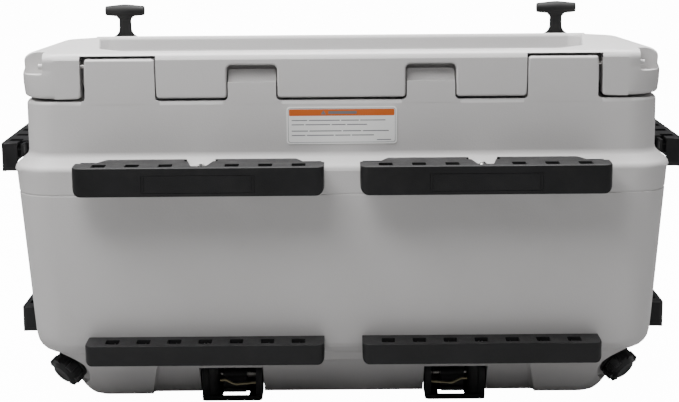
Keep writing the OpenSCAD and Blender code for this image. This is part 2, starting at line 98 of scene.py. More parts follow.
# %% Camera
camera_data = bpy.data.cameras.new("camera")
camera_data.lens = 85
camera_data.sensor_width = 36
camera_data.clip_end = 60
camera = bpy.data.objects.new("camera", camera_data)
camera.location = (-0.0034, -2.045, 0.6337)
look_down = math.radians(90 - 10.98)
camera.matrix_world = (Matrix.Translation(camera.location) @ Matrix.Rotation(look_down, 4, "X")
                       @ Matrix.Rotation(math.radians(-0.45), 4, "Z"))
bpy.context.scene.collection.objects.link(camera)
bpy.context.scene.camera = camera
print("camera at", tuple(round(v, 3) for v in camera.location))

# %% Floor and lights
floor_mesh = bmesh.new()
bmesh.ops.create_grid(floor_mesh, x_segments=1, y_segments=1, size=9)
floor_data = bpy.data.meshes.new("studio_floor")
floor_mesh.to_mesh(floor_data)
floor_mesh.free()
studio_floor = bpy.data.objects.new("studio_floor", floor_data)
bpy.context.scene.collection.objects.link(studio_floor)
paper = bpy.data.materials.new("floor_paper")
paper.use_nodes = True
paper_shader = paper.node_tree.nodes["Principled BSDF"]
paper_shader.inputs["Base Color"].default_value = (0.32, 0.32, 0.32, 1)
paper_shader.inputs["Roughness"].default_value = 0.9
paper_shader.inputs["Emission Color"].default_value = (1, 1, 1, 1)
sees = paper.node_tree.nodes.new("ShaderNodeLightPath")
glow = paper.node_tree.nodes.new("ShaderNodeMath")
glow.operation = "MULTIPLY"
glow.inputs[1].default_value = 14
paper.node_tree.links.new(sees.outputs["Is Camera Ray"], glow.inputs[0])
paper.node_tree.links.new(glow.outputs[0], paper_shader.inputs["Emission Strength"])
floor_data.materials.append(paper)


def soft_box(name, place, aim, size, watts):
    data = bpy.data.lights.new(name, "AREA")
    data.shape = "RECTANGLE"
    data.size, data.size_y = size
    data.energy = watts
    lamp = bpy.data.objects.new(name, data)
    turn = (Vector(aim) - Vector(place)).to_track_quat("-Z", "Y")
    lamp.matrix_world = Matrix.Translation(place) @ turn.to_matrix().to_4x4()
    bpy.context.scene.collection.objects.link(lamp)
    return lamp


soft_box("key_box", (-0.65, -0.78, 1.35), (-0.05, -0.12, 0.4), (1.6, 0.45), 21)
soft_box("top_box", (0.0, 0.15, 2.2), (0, 0, 0.3), (2.4, 1.2), 150)
soft_box("fill_box", (2.2, -1.6, 1.6), (0, 0, 0.35), (1.2, 1.2), 5)
sky = bpy.data.worlds.new("studio_sky")
sky.use_nodes = True
sky.node_tree.nodes["Background"].inputs["Color"].default_value = (1, 1, 1, 1)
sky.node_tree.nodes["Background"].inputs["Strength"].default_value = 0.09
bpy.context.scene.world = sky

# %% [markdown]
# ## Finishes as node groups
# Moulded plastic is never one flat colour. It has a very fine orange peel from the mould, cloudy
# shade changes where the powder melted unevenly, and patches and specks of dust. Two
# groups make these effects once: one for the mottled colour, one for the small-scale relief.
# Each material places them with its own values.

# %% Group helpers


def new_group(name, inputs, outputs):
    group = bpy.data.node_groups.new(name, "ShaderNodeTree")
    for label, kind, value in inputs:
        socket = group.interface.new_socket(label, in_out="INPUT", socket_type=kind)
        socket.default_value = value
    for label, kind in outputs:
        group.interface.new_socket(label, in_out="OUTPUT", socket_type=kind)
    return group, group.nodes.new("NodeGroupInput"), group.nodes.new("NodeGroupOutput")


def noise_at(tree, where, scale, detail=3.0, rough=0.55):
    node = tree.nodes.new("ShaderNodeTexNoise")
    node.inputs["Detail"].default_value = detail
    node.inputs["Roughness"].default_value = rough
    tree.links.new(where, node.inputs["Vector"])
    if isinstance(scale, (int, float)):
        node.inputs["Scale"].default_value = scale
    else:
        tree.links.new(scale, node.inputs["Scale"])
    return node.outputs["Fac"]


def ramp(tree, value, low, high):
    node = tree.nodes.new("ShaderNodeMapRange")
    node.inputs["From Min"].default_value = low
    node.inputs["From Max"].default_value = high
    tree.links.new(value, node.inputs["Value"])
    return node.outputs["Result"]


def calc(tree, kind, a, b):
    node = tree.nodes.new("ShaderNodeMath")
    node.operation = kind
    for socket, value in zip(node.inputs, (a, b)):
        if isinstance(value, (int, float)):
            socket.default_value = value
        else:
            tree.links.new(value, socket)
    return node.outputs[0]


def blend(tree, mask, a, b):
    node = tree.nodes.new("ShaderNodeMix")
    node.data_type = "RGBA"
    tree.links.new(mask, node.inputs["Factor"])
    for socket, value in ((node.inputs[6], a), (node.inputs[7], b)):
        if isinstance(value, tuple):
            socket.default_value = value
        else:
            tree.links.new(value, socket)
    return node.outputs[2]


# %% The clouded colour group
FLOAT, COLOUR, VECTOR = "NodeSocketFloat", "NodeSocketColor", "NodeSocketVector"
clouds, given, made = new_group(
    "clouded_colour",
    [("Vector", VECTOR, (0, 0, 0)), ("Main", COLOUR, (0.5, 0.5, 0.5, 1)),
     ("Cloud", COLOUR, (0.45, 0.45, 0.45, 1)), ("Dust", COLOUR, (0.5, 0.48, 0.45, 1)),
     ("Cloud Scale", FLOAT, 6.0), ("Dust Amount", FLOAT, 0.1), ("Rough Low", FLOAT, 0.4),
     ("Rough High", FLOAT, 0.5)],
    [("Color", COLOUR), ("Roughness", FLOAT)])
big = noise_at(clouds, given.outputs["Vector"], given.outputs["Cloud Scale"], 4)
speckle = noise_at(clouds, given.outputs["Vector"], 900, 2, 0.7)
cloudy = blend(clouds, ramp(clouds, big, 0.35, 0.7), given.outputs["Main"], given.outputs["Cloud"])
smudge = noise_at(clouds, given.outputs["Vector"], 34, 5, 0.6)
dust_mask = calc(clouds, "MULTIPLY", ramp(clouds, smudge, 0.5, 0.78), given.outputs["Dust Amount"])
speck_mask = calc(clouds, "MULTIPLY", ramp(clouds, speckle, 0.62, 0.8), given.outputs["Dust Amount"])
dusty = blend(clouds, calc(clouds, "ADD", dust_mask, speck_mask), cloudy, given.outputs["Dust"])
clouds.links.new(dusty, made.inputs["Color"])
spread = calc(clouds, "SUBTRACT", given.outputs["Rough High"], given.outputs["Rough Low"])
varied = calc(clouds, "MULTIPLY", ramp(clouds, smudge, 0.3, 0.72), spread)
clouds.links.new(calc(clouds, "ADD", varied, given.outputs["Rough Low"]), made.inputs["Roughness"])
print("group", clouds.name, "has", len(clouds.nodes), "nodes")

# %% The fine relief group
relief, given, made = new_group(
    "fine_relief",
    [("Vector", VECTOR, (0, 0, 0)), ("Grain Scale", FLOAT, 700.0), ("Wave Scale", FLOAT, 22.0),
     ("Wave Share", FLOAT, 0.3)],
    [("Height", FLOAT)])
peel = relief.nodes.new("ShaderNodeTexVoronoi")
peel.feature = "SMOOTH_F1"
relief.links.new(given.outputs["Vector"], peel.inputs["Vector"])
relief.links.new(given.outputs["Grain Scale"], peel.inputs["Scale"])
grain = noise_at(relief, given.outputs["Vector"], given.outputs["Grain Scale"], 2)
fine = calc(relief, "ADD", peel.outputs["Distance"], grain)
wave = noise_at(relief, given.outputs["Vector"], given.outputs["Wave Scale"], 1)
swell = calc(relief, "MULTIPLY", wave, given.outputs["Wave Share"])
relief.links.new(calc(relief, "ADD", fine, swell), made.inputs["Height"])
print("group", relief.name, "has", len(relief.nodes), "nodes")

# %% [markdown]
# A finish is then one call: the two groups, a bump and a Principled shader. Values that are the
# same all over a surface are set straight on the shader.

# %% Finish maker


def finish(name, main, cloud, dust, rough, dust_amount=0.1, cloud_scale=6.0, grain=700.0,
           bump=0.1, depth=0.0002, wave=0.3, metal=0.0, coat=0.0, gloss=0.5,
           stretch=(1, 1, 1)):
    material = bpy.data.materials.new(name)
    material.use_nodes = True
    tree = material.node_tree
    shader = tree.nodes["Principled BSDF"]
    shader.inputs["Metallic"].default_value = metal
    shader.inputs["Coat Weight"].default_value = coat
    shader.inputs["Specular IOR Level"].default_value = gloss
    coordinates = tree.nodes.new("ShaderNodeTexCoord")
    mapping = tree.nodes.new("ShaderNodeMapping")
    mapping.inputs["Scale"].default_value = stretch
    tree.links.new(coordinates.outputs["Object"], mapping.inputs["Vector"])
    colour = tree.nodes.new("ShaderNodeGroup")
    colour.node_tree = clouds
    for label, value in (("Main", main), ("Cloud", cloud), ("Dust", dust)):
        colour.inputs[label].default_value = (*value, 1)
    colour.inputs["Cloud Scale"].default_value = cloud_scale
    colour.inputs["Dust Amount"].default_value = dust_amount
    colour.inputs["Rough Low"].default_value, colour.inputs["Rough High"].default_value = rough
    height = tree.nodes.new("ShaderNodeGroup")
    height.node_tree = relief
    height.inputs["Grain Scale"].default_value = grain
    height.inputs["Wave Share"].default_value = wave
    bumped = tree.nodes.new("ShaderNodeBump")
    bumped.inputs["Strength"].default_value = bump
    bumped.inputs["Distance"].default_value = depth
    tree.links.new(mapping.outputs["Vector"], colour.inputs["Vector"])
    tree.links.new(mapping.outputs["Vector"], height.inputs["Vector"])
    tree.links.new(height.outputs["Height"], bumped.inputs["Height"])
    tree.links.new(colour.outputs["Color"], shader.inputs["Base Color"])
    tree.links.new(colour.outputs["Roughness"], shader.inputs["Roughness"])
    tree.links.new(bumped.outputs["Normal"], shader.inputs["Normal"])
    return material


# %% The cooler's finishes
tub_finish = finish("rotomoulded_grey", (0.60, 0.587, 0.584), (0.575, 0.562, 0.559), (0.52, 0.50, 0.465),
                    (0.38, 0.5), dust_amount=0.10, grain=520, bump=0.35, depth=0.00025)
liner_finish = finish("liner_white", (0.74, 0.74, 0.735), (0.71, 0.71, 0.70), (0.60, 0.58, 0.55),
                      (0.3, 0.42), dust_amount=0.08, grain=520, bump=0.3, depth=0.0002)
nylon_finish = finish("filled_nylon_black", (0.008, 0.008, 0.0085), (0.012, 0.012, 0.013),
                      (0.03, 0.029, 0.027), (0.36, 0.55), dust_amount=0.22, cloud_scale=14, grain=900,
                      bump=0.5, depth=0.0003, gloss=0.3)
rubber_finish = finish("latch_rubber", (0.007, 0.007, 0.0075), (0.010, 0.010, 0.010),
                       (0.045, 0.043, 0.04), (0.5, 0.68), dust_amount=0.25, cloud_scale=18, grain=1300,
                       bump=0.35, depth=0.0002, gloss=0.3)
gasket_finish = finish("gasket_rubber", (0.016, 0.016, 0.016), (0.022, 0.022, 0.022),
                       (0.06, 0.06, 0.058), (0.6, 0.75), grain=1500, bump=0.3, depth=0.0002)
mat_finish = finish("foam_mat_grey", (0.045, 0.046, 0.048), (0.035, 0.036, 0.038), (0.09, 0.088, 0.085),
                    (0.7, 0.88), dust_amount=0.3, cloud_scale=12, grain=1600, bump=0.8, depth=0.0004)
steel_finish = finish("brushed_stainless", (0.60, 0.59, 0.57), (0.50, 0.49, 0.475), (0.36, 0.33, 0.29),
                      (0.2, 0.36), dust_amount=0.15, cloud_scale=30, grain=700, bump=0.25, depth=0.0001,
                      metal=1.0, stretch=(0.25, 2.2, 2.2))
leaf_finish = finish("tinted_spring_leaf", (0.42, 0.36, 0.22), (0.26, 0.25, 0.17), (0.2, 0.16, 0.1),
                     (0.3, 0.48), dust_amount=0.3, cloud_scale=60, grain=600, bump=0.25, depth=0.0001,
                     metal=0.9)
brass_finish = finish("turned_brass", (0.62, 0.44, 0.18), (0.5, 0.35, 0.14), (0.3, 0.22, 0.1),
                      (0.25, 0.42), dust_amount=0.2, cloud_scale=60, bump=0.2, depth=0.0001, metal=1.0)
bush_finish = finish("natural_nylon_bush", (0.72, 0.70, 0.64), (0.66, 0.64, 0.58), (0.5, 0.47, 0.42),
                     (0.4, 0.52), grain=900, bump=0.2)
foam_finish = finish("cream_rigid_foam", (0.74, 0.66, 0.44), (0.68, 0.6, 0.39), (0.5, 0.44, 0.3),
                     (0.8, 0.92), dust_amount=0.3, cloud_scale=40, grain=420, bump=1.0, depth=0.0008)
film_finish = finish("label_white_film", (0.92, 0.92, 0.91), (0.9, 0.9, 0.89), (0.8, 0.78, 0.75),
                     (0.3, 0.42), grain=300, bump=0.08, depth=0.0001, coat=0.2)
orange_finish = finish("label_orange_ink", (0.62, 0.13, 0.012), (0.57, 0.115, 0.01), (0.5, 0.2, 0.1),
                       (0.34, 0.46), grain=300, bump=0.08, depth=0.0001, coat=0.2)
ink_finish = finish("label_grey_ink", (0.16, 0.16, 0.17), (0.2, 0.2, 0.21), (0.4, 0.4, 0.4),
                    (0.35, 0.48), grain=300, bump=0.08, depth=0.0001, coat=0.2)
print("finishes:", len(bpy.data.materials))

# %% [markdown]
# ## Shaping tools
# Every piece starts from a cube, a cone or a handful of corner points. Corners of an outline are
# rounded with a vertex bevel, outlines are joined with bridge_loops into a loft, and blocks are cut
# or fused with an exact Boolean. An edge bevel at the end gives the moulded softness. That way the
# operators make the vertices, and the script only names sizes.

# %% Blocks, rods and turned pieces


def block(low, high):
    bm = bmesh.new()
    low, high = Vector(low), Vector(high)
    place = Matrix.Translation((low + high) / 2) @ Matrix.Diagonal((*(high - low), 1))
    bmesh.ops.create_cube(bm, size=1, matrix=place)
    return bm


def rod(start, end, r0, r1=None, segments=32):
    bm = bmesh.new()
    start, end = Vector(start), Vector(end)
    turn = (end - start).to_track_quat("Z", "Y").to_matrix().to_4x4()
    bmesh.ops.create_cone(bm, cap_ends=True, segments=segments, radius1=r0,
                          radius2=r0 if r1 is None else r1, depth=(end - start).length,
                          matrix=Matrix.Translation((start + end) / 2) @ turn)
    return bm


def turned(profile, segments=48):
    """Spins an open profile of (radius, height) points about Z; its ends lie on the axis."""
    bm = bmesh.new()
    points = [bm.verts.new((r, 0, z)) for r, z in profile]
    edges = [bm.edges.new(pair) for pair in zip(points, points[1:])]
    bmesh.ops.spin(bm, geom=points + edges, cent=(0, 0, 0), axis=(0, 0, 1), angle=math.tau,
                   steps=segments, use_merge=True)
    bmesh.ops.remove_doubles(bm, verts=bm.verts, dist=0.001)
    bmesh.ops.recalc_face_normals(bm, faces=bm.faces)
    return bm


# %% Outlines, prisms and lofts


def outline(bm, points, rounds, segments):
    """Adds a flat face with its corners rounded, and returns it. A round is a tangent length."""
    known = set(bm.faces)
    corners = [bm.verts.new(p) for p in points]
    bm.faces.new(corners)
    for size in sorted(set(rounds) - {0}):
        chosen = [v for v, r in zip(corners, rounds) if r == size]
        bmesh.ops.bevel(bm, geom=chosen, offset=size, offset_type="OFFSET", affect="VERTICES",
                        segments=segments, profile=0.5, material=-1, clamp_overlap=False)
    return next(f for f in bm.faces if f not in known)


def prism(points, rounds, along, segments=6):
    bm = bmesh.new()
    face = outline(bm, points, rounds, segments)
    grown = bmesh.ops.extrude_face_region(bm, geom=[face])
    moved = [v for v in grown["geom"] if isinstance(v, bmesh.types.BMVert)]
    bmesh.ops.translate(bm, vec=along, verts=moved)
    bmesh.ops.recalc_face_normals(bm, faces=bm.faces)
    return bm


def loft(rings, segments=8):
    """Bridges rings of (corner points, tangent length) one to the next, and caps both ends."""
    bm = bmesh.new()
    loops = []
    caps = []
    for points, size in rings:
        face = outline(bm, points, [size] * len(points), segments)
        loops.append(list(face.edges))
        caps.append(face)
    bmesh.ops.delete(bm, geom=caps[1:-1], context="FACES_ONLY")
    for one, other in zip(loops, loops[1:]):
        bmesh.ops.bridge_loops(bm, edges=one + other)
    bmesh.ops.recalc_face_normals(bm, faces=bm.faces)
    return bm


def rect_ring(half_w, y0, y1, r, z):
    """Corner points of a rounded rectangle about X = 0, at height z."""
    return [(-half_w, y0, z), (half_w, y0, z), (half_w, y1, z), (-half_w, y1, z)], r


# %% Joining, cutting and softening


def merged(*parts):
    """One bmesh holding all the parts, which are used up."""
    whole = parts[0]
    for other in parts[1:]:
        scrap = bpy.data.meshes.new("scrap")
        other.to_mesh(scrap)
        other.free()
        whole.from_mesh(scrap)
        bpy.data.meshes.remove(scrap)
    return whole


def stand_in(bm, name):
    mesh = bpy.data.meshes.new(name)
    bm.to_mesh(mesh)
    bm.free()
    holder = bpy.data.objects.new(name, mesh)
    bpy.context.scene.collection.objects.link(holder)
    return holder


def combine(bm, tool, operation):
    """An exact Boolean of two closed shapes. Both are used up; the result is a new bmesh."""
    body, knife = stand_in(bm, "body"), stand_in(tool, "knife")
    boolean = body.modifiers.new("boolean", "BOOLEAN")
    boolean.operation = operation
    boolean.solver = "EXACT"
    boolean.use_self = True
    boolean.object = knife
    shaped = body.evaluated_get(bpy.context.evaluated_depsgraph_get())
    result = bmesh.new()
    result.from_mesh(shaped.to_mesh())
    shaped.to_mesh_clear()
    for holder in (body, knife):
        mesh = holder.data
        bpy.data.objects.remove(holder)
        bpy.data.meshes.remove(mesh)
    bmesh.ops.remove_doubles(result, verts=result.verts, dist=0.002)
    bmesh.ops.dissolve_limit(result, angle_limit=math.radians(0.6), verts=result.verts,
                             edges=result.edges, delimit=set())
    return result


def cut(bm, *tools):
    return combine(bm, merged(*tools), "DIFFERENCE")


def fuse(bm, *tools):
    return combine(bm, merged(*tools), "UNION")


def shared(bm, tool):
    return combine(bm, tool, "INTERSECT")


def soften(bm, width, where=None, segments=3, angle=35):
    """Rounds the crisp edges whose two ends both pass the test where(point)."""
    edges = [e for e in bm.edges if len(e.link_faces) == 2
             and e.calc_face_angle(0) > math.radians(angle)
             and (where is None or all(where(v.co) for v in e.verts))]
    bmesh.ops.bevel(bm, geom=edges, offset=width, offset_type="OFFSET", affect="EDGES",
                    segments=segments, profile=0.5, material=-1, clamp_overlap=True)
    return bm


def placed(bm, matrix):
    bmesh.ops.transform(bm, matrix=matrix, verts=bm.verts)
    if matrix.determinant() < 0:
        bmesh.ops.reverse_faces(bm, faces=bm.faces)
    return bm


def copied(bm):
    return bm.copy()


# %% [markdown]
# ## Handing a piece to the frame
# A finished piece is scaled to metres, shaded smooth between its crisp edges, given its finish, and
# tied to a body of the CAD model. The weighted normals keep flat faces flat beside a rounded edge.

# %% Piece maker
pieces = []


def piece(name, bm, finish_used, body, slot, *stands_for, crisp=32):
    bmesh.ops.remove_doubles(bm, verts=bm.verts, dist=0.002)
    bmesh.ops.scale(bm, vec=(MM, MM, MM), verts=bm.verts)
    mesh = bpy.data.meshes.new(name)
    bm.to_mesh(mesh)
    bm.free()
    mesh.shade_smooth()
    mesh.set_sharp_from_angle(angle=math.radians(crisp))
    mesh.materials.append(finish_used)
    made_piece = bpy.data.objects.new(name, mesh)
    bpy.context.scene.collection.objects.link(made_piece)
    weighted = made_piece.modifiers.new("weighted", "WEIGHTED_NORMAL")
    weighted.keep_sharp = True
    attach(made_piece, body)
    if stands_for:
        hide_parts(*stands_for)
    pieces.append(made_piece)
    print(f"{name}: {len(mesh.polygons)} faces")
    return made_piece


MIRROR_X = Matrix.Diagonal((-1, 1, 1, 1))
SIDES = (("left", -1), ("right", 1))


# %% [markdown]
# ## The tub's outer skin
# The real tub is rotomoulded: one hollow skin with generous radii. The upper walls are nearly
# plumb, a sloping ledge carries the lower walls 15 mm further out, they draw in a little towards the
# base, and a tucked-under plinth stands inside them. A loft of rounded rectangles follows that
# section exactly, and a shallow groove marks the mould's parting line. The inside of the wall is
# part of the same loft, so the skin has a real thickness.

# %% Section of the tub


def wall_ring(z, inset=0.0):
    """Lower wall between the parting of the plinth and the ledge; it draws in as it goes down."""
    share = (z - 92.5) / 213
    return rect_ring(381 + 16 * share - inset, front_y - 5 - 10 * share + inset,
                     rear_y + 5 + 10 * share - inset, 40 + 10 * share - inset, z)


def upper_ring(z, inset=0.0):
    return rect_ring(wall_half - inset, front_y + inset, rear_y - inset, 40 - inset * 0.6, z)


base_rings = [
    rect_ring(309, -84.5, 134.5, 14, floor_z), rect_ring(316, -91, 141, 20, floor_z + 0.9),
    rect_ring(321.5, -96.5, 146.5, 24, floor_z + 3.4), rect_ring(325.5, -100.4, 150.4, 27, floor_z + 7),
    rect_ring(329.5, -104, 153, 29, floor_z + 12), rect_ring(357.6, -130.6, 170.8, 31.6, 68),
    rect_ring(359.6, -132.2, 172, 31.6, 71), rect_ring(362.4, -134.6, 174.6, 31.6, 73.2),
    rect_ring(366.5, -138.2, 178.2, 32, 75), rect_ring(372, -142.6, 182.6, 35, 78.2),
    rect_ring(376.4, -146.2, 186.2, 38, 82.6), rect_ring(379.6, -148.8, 188.8, 39.6, 88.6),
    wall_ring(95, 0.2), wall_ring(102)]
side_rings = [wall_ring(z) for z in (150, 200, 250, 275)] + [
    wall_ring(275.7, 0.7), wall_ring(276.5, 0.9), wall_ring(277.3, 0.7), wall_ring(278), wall_ring(299.5)]
ledge_rings = [
    rect_ring(ledge_half, front_y - 15, rear_y + 15, 50, 304.5),
    rect_ring(ledge_half - 0.9, front_y - 14.1, rear_y + 14.1, 49.4, 308.2),
    rect_ring(ledge_half - 3, front_y - 12, rear_y + 12, 48, 311),
    rect_ring(385.4, front_y - 3.4, rear_y + 3.4, 42.2, 319.6),
    rect_ring(383, front_y - 1, rear_y + 1, 40.6, 322.6)]
rim_rings = [upper_ring(327), upper_ring(355), upper_ring(383.2), upper_ring(385.6, 0.7),
             upper_ring(387.2, 1.9), upper_ring(388.2, 3.6), upper_ring(rim_z, 5.4)]
lip_rings = [rect_ring(366, -139.5, 171, 28, rim_z), rect_ring(366, -139.5, 171, 28, 397),
             rect_ring(365.3, -138.8, 170.3, 27.4, 398.4), rect_ring(363.9, -137.4, 168.9, 26.4, 399)]
inner_rings = [rect_ring(361, -86, 166, 26, 399), rect_ring(361, -86, 166, 26, 383),
               rect_ring(376, -138.5, 179, 34, 383), rect_ring(376, -139, 179, 34, 287),
               rect_ring(385, -148, 188, 42, 286), rect_ring(368, -136, 176, 34, 98),
               rect_ring(318, -66, 140, 24, floor_z + 8)]
tub = loft(base_rings + side_rings + ledge_rings + rim_rings + lip_rings + inner_rings)
print("tub loft:", len(tub.faces), "faces")

# %% [markdown]
# Along the front the tub and the lid interlock. Two tall knuckles carry the hinge rods, and a short
# tooth stands in each of the lid's finger notches. Each is an outline drawn on the front wall with
# flared feet, pushed back into the rim, and rounded most at its crown. They are fused on after the
# hollow that the lid turns in has been scooped out.

# %% Teeth and hinge hollow


def tooth(x0, x1, top, depth, flare, crown):
    """A tooth between x0 and x1, up to height top, with concave feet and a soft crown."""
    foot = rim_z - 0.6
    sunk = rim_z - 4.6
    face = front_y - proud
    points = [(x0 - flare, face, sunk), (x1 + flare, face, sunk), (x1 + flare, face, foot),
              (x1, face, foot), (x1, face, top), (x0, face, top), (x0, face, foot),
              (x0 - flare, face, foot)]
    rounds = [0, 0, 0, flare * 0.98, 3.5, 3.5, flare * 0.98, 0]
    bm = prism(points, rounds, (0, depth, 0), segments=6)
    if crown:
        soften(bm, crown, lambda p: p.z > top - 4, segments=5, angle=50)
    return bm


def x_rod(x0, x1, y, z, r, segments=64):
    return rod((x0, y, z), (x1, y, z), r, segments=segments)


proud = 0.02                       # keeps a fused face from lying exactly on the wall's face
tub = cut(tub, x_rod(-400, 400, hinge.y, hinge.z, gutter_r, 96))
teeth = []
tongue_top = 423.5
scoop_r = 14
for side in (-1, 1):
    knuckle = tooth(tall_tooth[0], tall_tooth[1], hinge.z + 9.4, 23, 4.5, 7.5)
    bore = x_rod(tall_tooth[0] - 1, tall_tooth[1] + 1, hinge.y, hinge.z, 5, 32)
    knuckle = cut(knuckle, bore)
    short = tooth(low_tooth[0], low_tooth[1], tongue_top, 18, 5.5, 0)
    scoop_at = front_y + 2.7
    short = cut(short, x_rod(60, 150, scoop_at, tongue_top + 0.5, scoop_r, 64),
                block((60, front_y - 2, tongue_top + 0.5 - scoop_r), (150, scoop_at, tongue_top + 9)))
    soften(short, 2.6, lambda p: p.z > rim_z + 5.5 and p.y < scoop_at + 1, segments=5, angle=40)
    for part in (knuckle, short):
        teeth.append(placed(part, MIRROR_X) if side < 0 else part)
tub = fuse(tub, *teeth)
print("tub with its teeth:", len(tub.faces), "faces")

# %% [markdown]
# Under the front a wide toe recess slopes back between the plinth's corners, so that the quick-attach
# brackets can be reached. Its sides lean a little. The drain caps sit on flats cut across the lower
# front corners, and pads stand out where the rail screws go in.

# %% Recess, seats, drains and pads
recess_half = (231, 244)           # half width of the recess at its top and at the base
recess_front = prism(
    [(-recess_half[1], -220, -6), (recess_half[1], -220, -6), (recess_half[0], -220, 61),
     (-recess_half[0], -220, 61)], [0, 0, 13, 13], (0, 180, 0), segments=8)
recess_slope = prism(
    [(-300, -230, -10), (-300, -230, 61), (-300, -124, 61), (-300, -74, 1), (-300, -74, -10)],
    [0, 0, 0, 0, 0], (600, 0, 0))
recess = soften(shared(recess_front, recess_slope), 6, lambda p: p.y > -150 and p.z > -4, segments=4)
attach_low, attach_high = span("left_attach_bracket")
attach_x = -(attach_low.x + attach_high.x) / 2
seats = [block((s * attach_x - 40, -170, -5), (s * attach_x + 40, attach_high.y + 6, attach_high.z))
         for s in (-1, 1)]
bosses = [prism([(s * attach_x - 46, -84, 8), (s * attach_x - 46, -41, 8), (s * attach_x - 46, -41, 63),
                 (s * attach_x - 46, -115, 63), (s * attach_x - 46, -115, 45)], [0] * 5, (92, 0, 0))
          for s in (-1, 1)]
drain_at = Vector((-340, -98.5, 52))
drain_out = Vector((-0.58, -0.60, -0.55)).normalized()
drain_turn = Matrix.Translation(drain_at) @ drain_out.to_track_quat("Z", "X").to_matrix().to_4x4()
sides_turned = {-1: Matrix.Identity(4), 1: MIRROR_X}


def along_drain(z0, z1, r0, r1=None, segments=48):
    return placed(rod((0, 0, z0), (0, 0, z1), r0, r1, segments), drain_turn)


drains = [placed(along_drain(z0, z1, r), sides_turned[s])
          for s in (-1, 1) for z0, z1, r in ((0, 70, 30), (-71, 1, 13.2))]
tub = fuse(tub, *bosses)
tub = cut(tub, recess, *seats)
tub = cut(tub, *drains)
print("tub with its recess and seats:", len(tub.faces), "faces")

# %% Screw pads and the finished tub


def screw_places():
    """Centre and outward direction of every rail screw, read from the rails' own boxes."""
    places = []
    for name, side in SIDES:
        upper_low, upper_high = span(f"{name}_upper_front_rail")
        middle = (upper_low.x + upper_high.x) / 2
        for x in (-108, 0, 108):
            places.append((Vector((middle + x, upper_high.y - 12, upper_high.z - 11)), Vector((0, -1, 0))))
        under_low, under_high = span(f"{name}_lower_front_rail")
        middle = (under_low.x + under_high.x) / 2
        for x in (-94, 0, 94):
            places.append((Vector((middle + x, under_high.y - 4, under_high.z - 13)), Vector((0, -1, 0))))
        for rail, inward in ((f"{name}_upper_side_rail", 17.6), (f"{name}_lower_side_rail", 4)):
            rail_low, rail_high = span(rail)
            inner = rail_low.x if side > 0 else rail_high.x
            middle = (rail_low.y + rail_high.y) / 2
            for y in (-70, 70):
                places.append((Vector((inner + side * inward, middle + y, rail_high.z - 25)),
                               Vector((side, 0, 0))))
    return places


rail_screw_places = screw_places()
pads = [rod(at - out * 16, at - out * 4.05, 6.9, 6.4, 24) for at, out in rail_screw_places]
tub = fuse(tub, *pads)
piece("tub_skin", tub, tub_finish, "tub", "tub_plastic", "tub_shell")
print("screw pads:", len(rail_screw_places))

# %% [markdown]
# ## The liner
# Inside the tub is a separate white skin with a wide flange for the lid's gasket. Food and ice touch
# it, so the real one has no sharp inside corner anywhere. The same kind of loft makes it, from the
# underside of the basin, over the flange, and down again to the floor.

# %% Liner
basin_half, basin_front, basin_rear, basin_floor = 345, -76, 150, liner_low.z + 3


def basin_ring(z, grow):
    share = (liner_top - z) / (liner_top - basin_floor)
    return rect_ring(basin_half - 14 * share + grow, basin_front + 13 * share - grow,
                     basin_rear - 13 * share + grow, 24 - 4 * share + grow * 0.8, z)


liner_rings = [basin_ring(z, grow) for z, grow in (
    (basin_floor - 3, -13), (basin_floor - 1.8, -5.5), (basin_floor + 3, 0), (basin_floor + 11, 3),
    (liner_top - 9, 3), (liner_top - 3, 4.5))]
liner_rings += [rect_ring(364 - inset, inset - 96, 169 - inset, r, liner_top - dz)
                for inset, r, dz in ((1.5, 25, 3), (0, 26, 2.2), (0, 26, 0.8), (0.8, 25.4, 0))]
liner_rings += [basin_ring(z, grow) for z, grow in (
    (liner_top, 5.5), (liner_top - 0.8, 2.6), (liner_top - 2.7, 0.8), (liner_top - 6, 0),
    (basin_floor + 16, 0), (basin_floor + 8, -2.4), (basin_floor + 3, -6.8), (basin_floor + 0.8, -11.5),
    (basin_floor, -17))]
liner = loft(liner_rings)
liner = cut(liner, *[placed(along_drain(-81, -19, 13.2), sides_turned[s]) for s in (-1, 1)])
piece("basin_liner", liner, liner_finish, "tub", "liner_plastic", "tub_liner")

# %% [markdown]
# ## The lid
# The lid is a second hollow moulding. Its top edge is rounded, a shallow tray with cut-off front
# corners is sunk in the top, and the top falls a few millimetres towards the latches. The tray has
# eight corners and the outside four, so every ring of this loft gets eight: a rounded corner is the
# same curve when a short diagonal is rounded at both of its ends.

# %% Section of the lid
lid_half = lid_high.x


def eight_ring(half_w, y0, y1, r, z):
    c = (2 - math.sqrt(2)) * r
    return [(c - half_w, y0, z), (half_w - c, y0, z), (half_w, y0 + c, z), (half_w, y1 - c, z),
            (half_w - c, y1, z), (c - half_w, y1, z), (-half_w, y1 - c, z), (-half_w, y0 + c, z)], 0.41 * r


tray_plan = [(-262, -112), (262, -112), (296, -70), (328, 150), (318, 165), (-318, 165), (-328, 150),
             (-296, -70)]


def tray_ring(out, z):
    """The tray's outline, moved outwards by a few millimetres."""
    ring = []
    for before, here, after in zip(tray_plan[-1:] + tray_plan, tray_plan, tray_plan[1:] + tray_plan[:1]):
        one = (Vector(here) - Vector(before)).normalized()
        two = (Vector(after) - Vector(here)).normalized()
        mitre = (Vector((one.y, -one.x)) + Vector((two.y, -two.x))).normalized()
        spread = out / max(mitre.dot(Vector((one.y, -one.x))), 0.3)
        spot = Vector(here) + mitre * spread
        ring.append((spot.x, spot.y, z))
    return ring, 7.2


